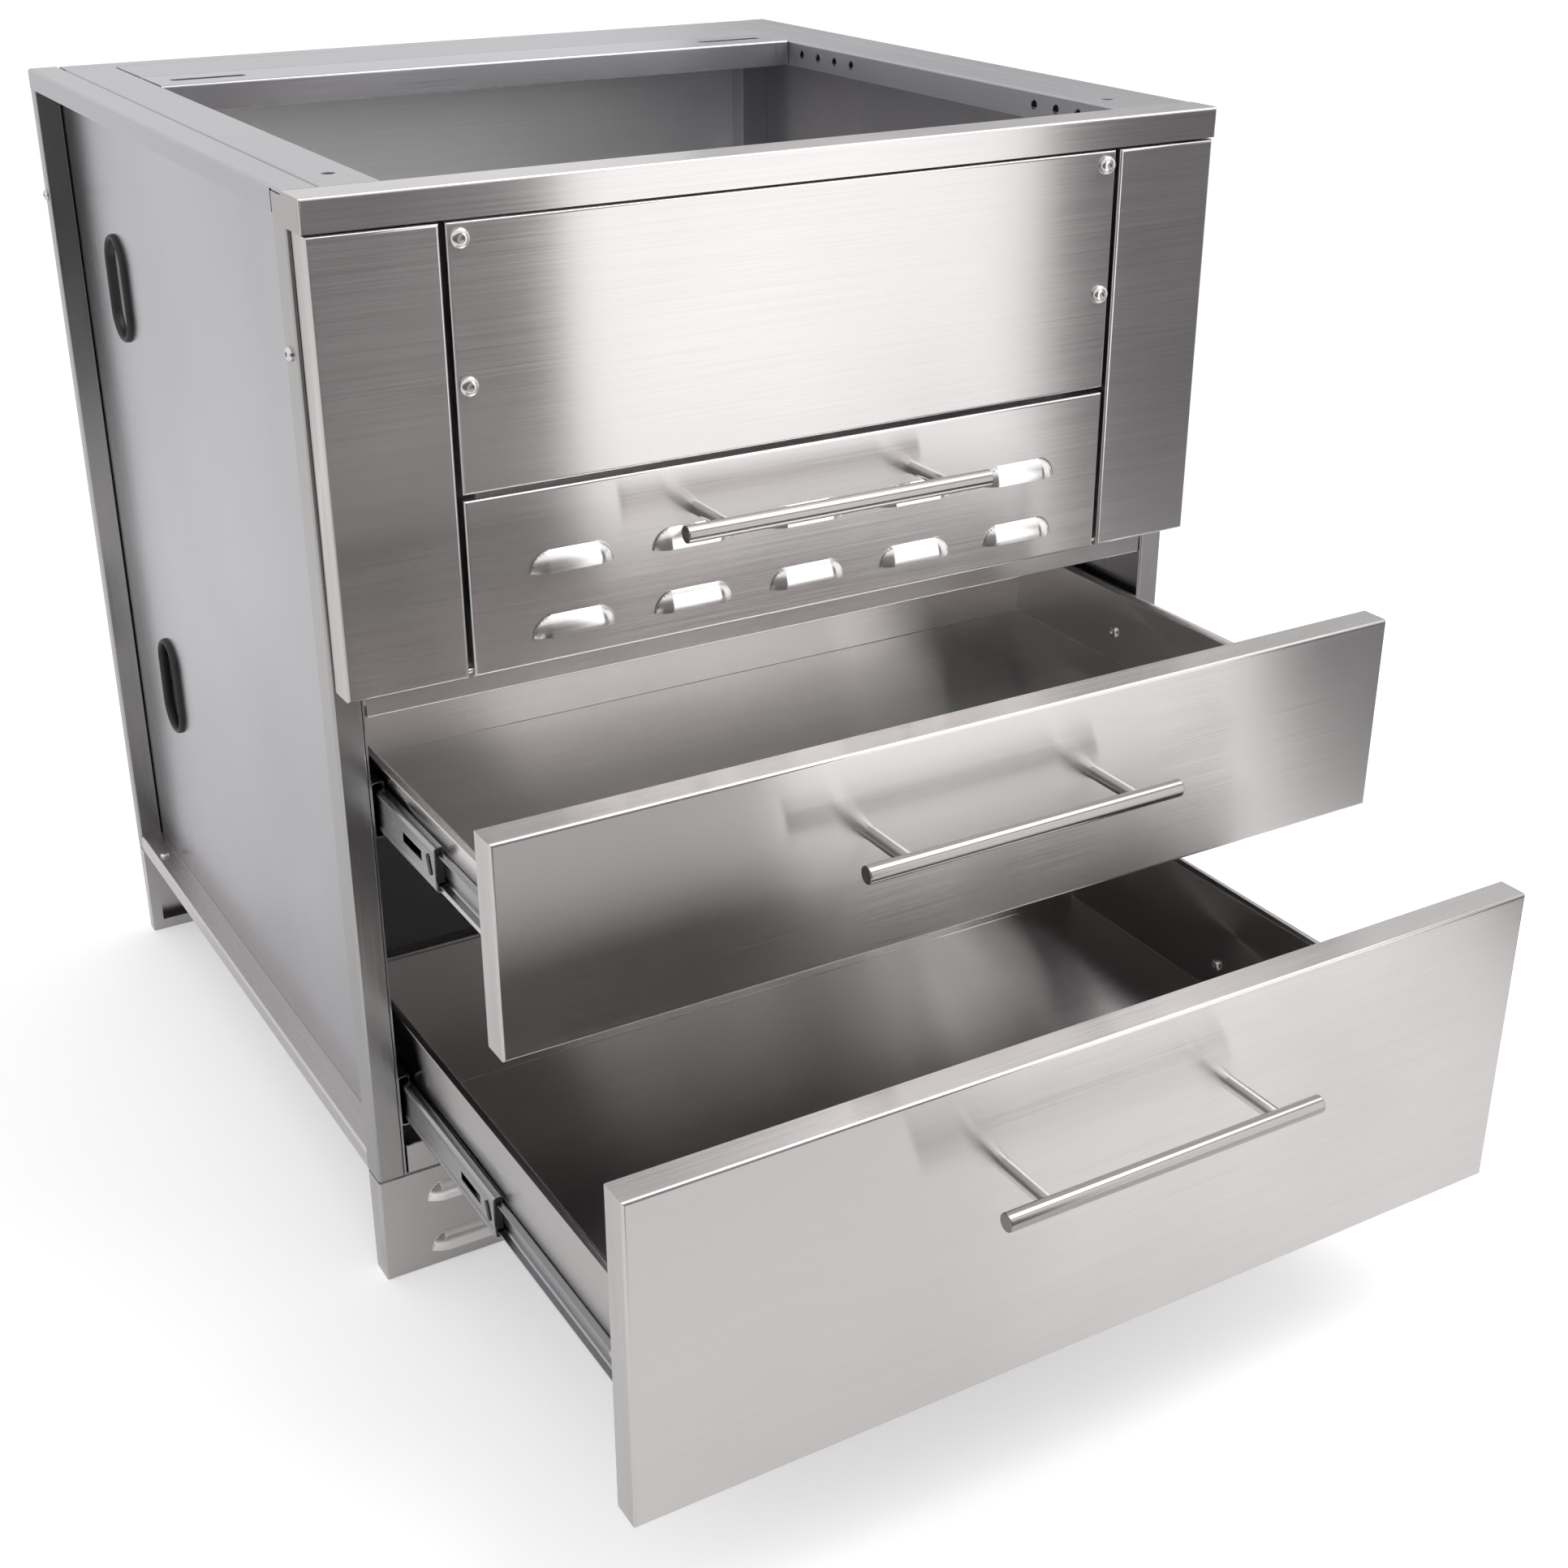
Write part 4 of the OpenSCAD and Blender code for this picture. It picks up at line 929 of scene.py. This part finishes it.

# %% [markdown]
# ## Drawer boxes
# A drawer is a box folded from one sheet: the sides end in a narrow flange that is folded
# outwards over the slide, and the back wall stands higher and is folded backwards. So the
# block loses its top and front, and its upper edges are extruded up and outwards. The
# upper box is painted lighter than the lower one: a painted reflection of the pale studio.

# %% Drawer boxes
BOX_HALF = 344.8
BACK_RISE, BACK_FLANGE, SIDE_FLANGE = 30.5, 12.5, 6
FLANGE_BEND, BOX_BEND = 2, 2.2
for name, front_y, back_y, floor_z, side_z, material in (
    ("upper", -251.5, 155.5, 395.2, 460.6, lit_upper_box_steel),
    ("lower", -422.5, 43.5, 137.9, 240.4, lower_box_steel),
):
    low = (-BOX_HALF, front_y, floor_z - SHEET)
    high = (BOX_HALF, back_y + SHEET, side_z - SHEET)
    box = start_block(name + "_box_folded", low, high)
    edit(box)
    for side in ("+z", "-y"):
        open_side(low, high, side)
    pick("EDGE", edge_test(low, high, ["+z+y"]))
    grow(0, 0, BACK_RISE)
    grow(0, BACK_FLANGE, 0)
    for _, sign, out, _ in SIDES:
        pick("EDGE", edge_test(low, high, ["+z" + out]))
        grow(sign * SIDE_FLANGE, 0, 0)
    pick("EDGE", lambda middle, way: abs(way.x) < 0.1 and abs(abs(middle.x) - BOX_HALF) < NEAR
         and abs(middle.z - high[2]) < NEAR)
    round_edges(FLANGE_BEND, 4)
    pick("EDGE", lambda middle, way: abs(way.x) > ALONG and abs(middle.y - high[1]) < NEAR
         and abs(middle.z - high[2] - BACK_RISE) < NEAR)
    round_edges(FLANGE_BEND, 4)
    pick("EDGE", edge_test(low, high, ["-z-x", "-z+x", "-z+y", "+y-x", "+y+x"]))
    round_edges(BOX_BEND, 4)
    done()
    thicken(box)
    soften(box)
    finish_piece(box, name + "_drawer", [name + "_box"], material)
print("drawer boxes done, pieces so far:", len(made))

# %% [markdown]
# ## Drawer slides
# A ball-bearing slide is three channels that run inside one another. Their edges are
# rolled into tracks for the balls, and a shallow bead is pressed along each web, which
# catches the light as ridges. The middle member has a long window near its front end.

# %% Roll a slide member
SLIDE_SHEET = 1.2
PANEL_FACE = 357.5
LIP_ROUND, WEB_ROUND = 1.9, 3.2
BEAD_EDGE, BEAD_WIDTH, BEAD_DEPTH = 3.0, 1.2, 0.8
# Near and far from the side panel, half the height, where the rolled lips end (0 for no
# lips), and whether the channel opens towards the panel.
RAIL = (0, 10.6, 22.85, 18.3, False)
MIDDLE = (3.3, 11, 18, 13.15, False)
RUNNER = (5.9, 12.7, 12.85, 0, True)


def slide_member(name, sign, z, ys, near, far, half_z, lip_z, opens_out):
    """One channel of a slide, at the height of its middle."""
    xs = sorted((sign * (PANEL_FACE - near), sign * (PANEL_FACE - far)))
    low, high = (xs[0], ys[0], z - half_z), (xs[1], ys[1], z + half_z)
    panel_side, drawer_side = ("+x", "-x") if sign > 0 else ("-x", "+x")
    mouth_side, web_side = (
        (panel_side, drawer_side) if opens_out else (drawer_side, panel_side)
    )
    member = start_block(name, low, high)
    edit(member)
    for side in (mouth_side, "-y", "+y"):
        open_side(low, high, side)
    if lip_z:
        for side, way_z in (("-z", 1), ("+z", -1)):
            pick("EDGE", edge_test(low, high, [side + mouth_side]))
            grow(0, 0, way_z * (half_z - lip_z))
        pick("EDGE", edge_test(low, high, ["-z" + mouth_side, "+z" + mouth_side]))
        round_edges(LIP_ROUND, 3)
    pick("EDGE", edge_test(low, high, ["-z" + web_side, "+z" + web_side]))
    round_edges(WEB_ROUND, 4)
    pick("FACE", side_test(low, high, web_side))
    bpy.ops.mesh.inset(thickness=BEAD_EDGE * MM, depth=0)
    bpy.ops.mesh.inset(thickness=BEAD_WIDTH * MM, depth=-BEAD_DEPTH * MM)
    done()
    thicken(member, SLIDE_SHEET)
    return member


# %% Slides
WINDOW_X, WINDOW_HALF_X, WINDOW_HALF_Z = 353.6, 3, 4
WINDOW_YS = (27, 63)
RAIL_START = 2
for name, z, rail_end, mid_ys, run_ys in (
    ("upper", 422.2, 408, (-110.608, 289.392), (-250.5, 155.5)),
    ("lower", 164.9, 459, (-176.367, 274.633), (-421.5, 35.5)),
):
    rails, middles, runners = [], [], []
    for sign in (-1, 1):
        rails.append(slide_member("rail", sign, z, (RAIL_START, rail_end), *RAIL))
        middle = slide_member("middle", sign, z, mid_ys, *MIDDLE)
        window = side_block(
            "window", sign, WINDOW_X - WINDOW_HALF_X, WINDOW_X + WINDOW_HALF_X,
            [mid_ys[0] + y for y in WINDOW_YS], (z - WINDOW_HALF_Z, z + WINDOW_HALF_Z))
        cut(middle, [window])
        middles.append(middle)
        runners.append(slide_member("runner", sign, z, run_ys, *RUNNER))
    for part, pieces, body in (
        ("rails", rails, "cabinet"),
        ("middles", middles, name + "_middles"),
        ("runners", runners, name + "_drawer"),
    ):
        piece = joined(f"{name}_slide_{part}_rolled", pieces)
        soften(piece, 0.2)
        finish_piece(piece, body, [f"{name}_slide_{part}"], shaded_zinc)
print("slides done, pieces so far:", len(made))

# %% [markdown]
# ## The well's corners and the threads
# Two folded angles box in the rear corners of the well. The threaded nuts get rings inside
# their bores, close enough together to read as a thread through the hole above.

# %% Corner boxes
for side, sign, out, into in SIDES:
    node = "corner_box_" + side
    piece = fold_node(node, [out, "+y", "-z", "+z"], {BEND: ["-y" + into]})
    soften(piece)
    finish_piece(piece, "cabinet", [node], inner_steel)
print("corner boxes done, pieces so far:", len(made))

# %% Threads
THREAD_RADIUS, THREAD_ROLL = 4.35, 0.4
THREAD_Z, THREAD_PITCH, THREAD_TURNS = 867.4, 1.15, 7
rings = []
for sign in (-1, 1):
    for turn in range(THREAD_TURNS):
        height = THREAD_Z + THREAD_PITCH * turn
        bpy.ops.object.select_all(action="DESELECT")
        bpy.ops.mesh.primitive_torus_add(
            major_segments=32, minor_segments=6, major_radius=THREAD_RADIUS * MM,
            minor_radius=THREAD_ROLL * MM,
            location=(sign * COUNTER_NUT_X * MM, COUNTER_NUT_Y * MM, height * MM),
        )
        rings.append(keep_place("ring"))
threads = joined("nut_threads", rings)
smooth(threads, 60)
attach(threads, "cabinet")
threads.data.materials.append(screw_steel)
print("all pieces made:", len(made) + 1)

# %% [markdown]
# ## The CAD nodes that stay
# Flat panels, linings and small hidden parts are right as they are. They get a finish like
# the rest, and so do the nodes that the new pieces stand for. The back panel and the grill
# shelf are painted very pale towards the well as painted light, and smooth, and the back
# panel's outer face is brushed like the side panels.

# %% Paint the CAD nodes
paint = {
    front_steel: ["side_front_left", "side_front_right", "middle_front", "vent_door",
                  "upper_front", "lower_front"],
    frame_steel: ["front_plinth", "rear_plinth", "low_front_rail", "mid_front_rail",
                  "front_top_rail", "slotted_rail"],
    shaded_post_steel: ["front_post_left", "front_post_right", "rear_post_left", "rear_post_right"],
    side_rail_steel: ["bottom_rail_left", "bottom_rail_right"],
    top_x_steel: ["rear_rim", "rear_filler"],
    top_y_steel: ["rim_left", "rim_right", "top_rail_left", "top_rail_right"],
    panel_steel: ["side_panel_left", "side_panel_right"],
    lit_upper_box_steel: ["upper_box", "upper_lining"],
    lower_box_steel: ["lower_box", "lower_lining"],
    lit_well_steel: ["back_panel", "grill_shelf"],
    inner_steel: ["base_panel", "upright_left", "upright_right", "corner_box_left",
                  "corner_box_right"],
    polished: ["door_handle_bar", "upper_handle_bar", "lower_handle_bar"],
    lit_post_polish: ["door_handle_posts", "upper_handle_posts", "lower_handle_posts"],
    shaded_zinc: ["upper_slide_rails", "lower_slide_rails", "upper_slide_middles",
           "lower_slide_middles", "upper_slide_runners", "lower_slide_runners"],
    screw_steel: ["middle_front_screws", "frame_screws", "hinge_pins", "counter_nuts",
                  "upper_bolts", "lower_bolts"],
    black_plastic: ["magnet_catches", "upper_slide_stops", "lower_slide_stops"],
    rubber: ["cable_grommets"],
}
for material, names in paint.items():
    for name in names:
        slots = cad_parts[name].data.materials
        slots.clear()
        slots.append(material)
coat(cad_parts["back_panel"], panel_steel, side_test(*box_of("back_panel"), "+y"))
print("painted nodes:", sum(len(names) for names in paint.values()), "of", len(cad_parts))

# %% [markdown]
# ## Floor and backdrop
# The floor and the surroundings are plain white. They look white to the camera and in
# reflections, while the light that falls on the cabinet stays at a plain level, so the
# floor keeps the cabinet's shadow.


# %% Floor
def seen_directly(tree, mirrored=1.0):
    """1 for what the camera sees, mirrored for what a reflection or a refraction shows."""
    path = node_of(tree, "ShaderNodeLightPath")
    shown = combine(tree, "MAXIMUM", path.outputs["Is Glossy Ray"],
                    path.outputs["Is Transmission Ray"])
    part = node_of(tree, "ShaderNodeMath", operation="MULTIPLY")
    part.inputs[1].default_value = mirrored
    tree.links.new(shown, part.inputs[0])
    return combine(tree, "MAXIMUM", path.outputs["Is Camera Ray"], part.outputs[0])


FLOOR_GREY, FLOOR_GLOW, FLOOR_MIRRORED = 0.94, 0.36, 0.35
bpy.ops.object.select_all(action="DESELECT")
bpy.ops.mesh.primitive_plane_add(size=40, location=(0, 0, 0))
floor = bpy.context.object
floor.name = "floor"
floor_look, tree, _ = new_look("floor")
tree.nodes.clear()
out = node_of(tree, "ShaderNodeOutputMaterial")
matt = node_of(tree, "ShaderNodeBsdfDiffuse")
matt.inputs["Color"].default_value = (FLOOR_GREY, FLOOR_GREY, FLOOR_GREY, 1)
glow = node_of(tree, "ShaderNodeEmission")
glow.inputs["Color"].default_value = (1, 1, 1, 1)
share = node_of(tree, "ShaderNodeMath", operation="MULTIPLY")
share.inputs[1].default_value = FLOOR_GLOW
tree.links.new(seen_directly(tree, FLOOR_MIRRORED), share.inputs[0])
tree.links.new(share.outputs[0], glow.inputs["Strength"])
both = node_of(tree, "ShaderNodeAddShader")
tree.links.new(matt.outputs[0], both.inputs[0])
tree.links.new(glow.outputs[0], both.inputs[1])
tree.links.new(both.outputs[0], out.inputs["Surface"])
floor.data.materials.append(floor_look)
print("floor:", [round(v, 1) for v in floor.dimensions])

# %% World
WORLD_LIGHT = 0.82
world = bpy.data.worlds.new("studio")
bpy.context.scene.world = world
world.use_nodes = True
tree = world.node_tree
tree.nodes.clear()
out = node_of(tree, "ShaderNodeOutputWorld")
light = node_of(tree, "ShaderNodeBackground")
light.inputs["Strength"].default_value = WORLD_LIGHT
white = node_of(tree, "ShaderNodeBackground")
for background in (light, white):
    background.inputs["Color"].default_value = (1, 1, 1, 1)
mix = node_of(tree, "ShaderNodeMixShader")
tree.links.new(seen_directly(tree), mix.inputs["Fac"])
tree.links.new(light.outputs[0], mix.inputs[1])
tree.links.new(white.outputs[0], mix.inputs[2])
tree.links.new(mix.outputs[0], out.inputs["Surface"])
print("world light:", WORLD_LIGHT)

# %% [markdown]
# ## Soft lamps and cards
# Brushed steel shows its form through what it mirrors. A soft lamp hangs above. A tall lamp
# stands at the front right and lights nothing directly: the fronts only mirror it, as a
# bright band with calm grey on both sides. Three cards are there for reflections alone: a
# dark one in front, a dark one on the floor and a grey one behind.


# %% Lamps
def softbox(name, place, aim, wide, high, watts):
    """An area lamp that looks at a point."""
    lamp = bpy.data.objects.new(name, bpy.data.lights.new(name, "AREA"))
    bpy.context.scene.collection.objects.link(lamp)
    lamp.data.shape = "RECTANGLE"
    lamp.data.size = wide
    lamp.data.size_y = high
    lamp.data.energy = watts
    lamp.location = place
    lamp.rotation_mode = "QUATERNION"
    lamp.rotation_quaternion = (Vector(aim) - Vector(place)).to_track_quat("-Z", "Y")
    return lamp


softbox("top_light", place=(1.0, -0.6, 2.6), aim=(0, 0, 0.5), wide=1.6, high=1.6, watts=22)
band = softbox("side_light", place=(0.785, -1.3, 0.65), aim=(0.785, 0, 0.65), wide=0.80,
               high=1.3, watts=4.9)
band.visible_diffuse = False
print("lamps:", [lamp.name for lamp in bpy.data.lights])


# %% Cards
def reflected_card(name, low, high, grey):
    """A card between two corners in metres that shows in reflections only."""
    bpy.ops.object.select_all(action="DESELECT")
    middle = [(a + b) / 2 for a, b in zip(low, high)]
    stands = [a == b for a, b in zip(low, high)]
    turn = (math.pi / 2 * stands[1], math.pi / 2 * stands[0], 0)
    bpy.ops.mesh.primitive_plane_add(size=1, location=middle, rotation=turn)
    card = keep_place(name)
    edit(card)
    bpy.ops.mesh.select_all(action="SELECT")
    bpy.ops.transform.resize(
        value=[b - a or 1 for a, b in zip(low, high)], center_override=middle
    )
    done()
    look, _, shader = new_look(name)
    shader.inputs["Base Color"].default_value = (grey, grey, grey, 1)
    card.data.materials.append(look)
    card.visible_camera = card.visible_diffuse = card.visible_shadow = False
    print(name, [round(v, 2) for v in card.dimensions])


reflected_card("dark_card", low=(-2.5, -1.4, 0), high=(2.5, -1.4, 1.3), grey=0.14)
reflected_card("dark_floor_card", low=(0.87, -1.4, 0.002), high=(3.0, -0.3, 0.002), grey=0.36)
reflected_card("grey_back_card", low=(1.1, 2.2, 0), high=(5.0, 2.2, 2.5), grey=0.65)
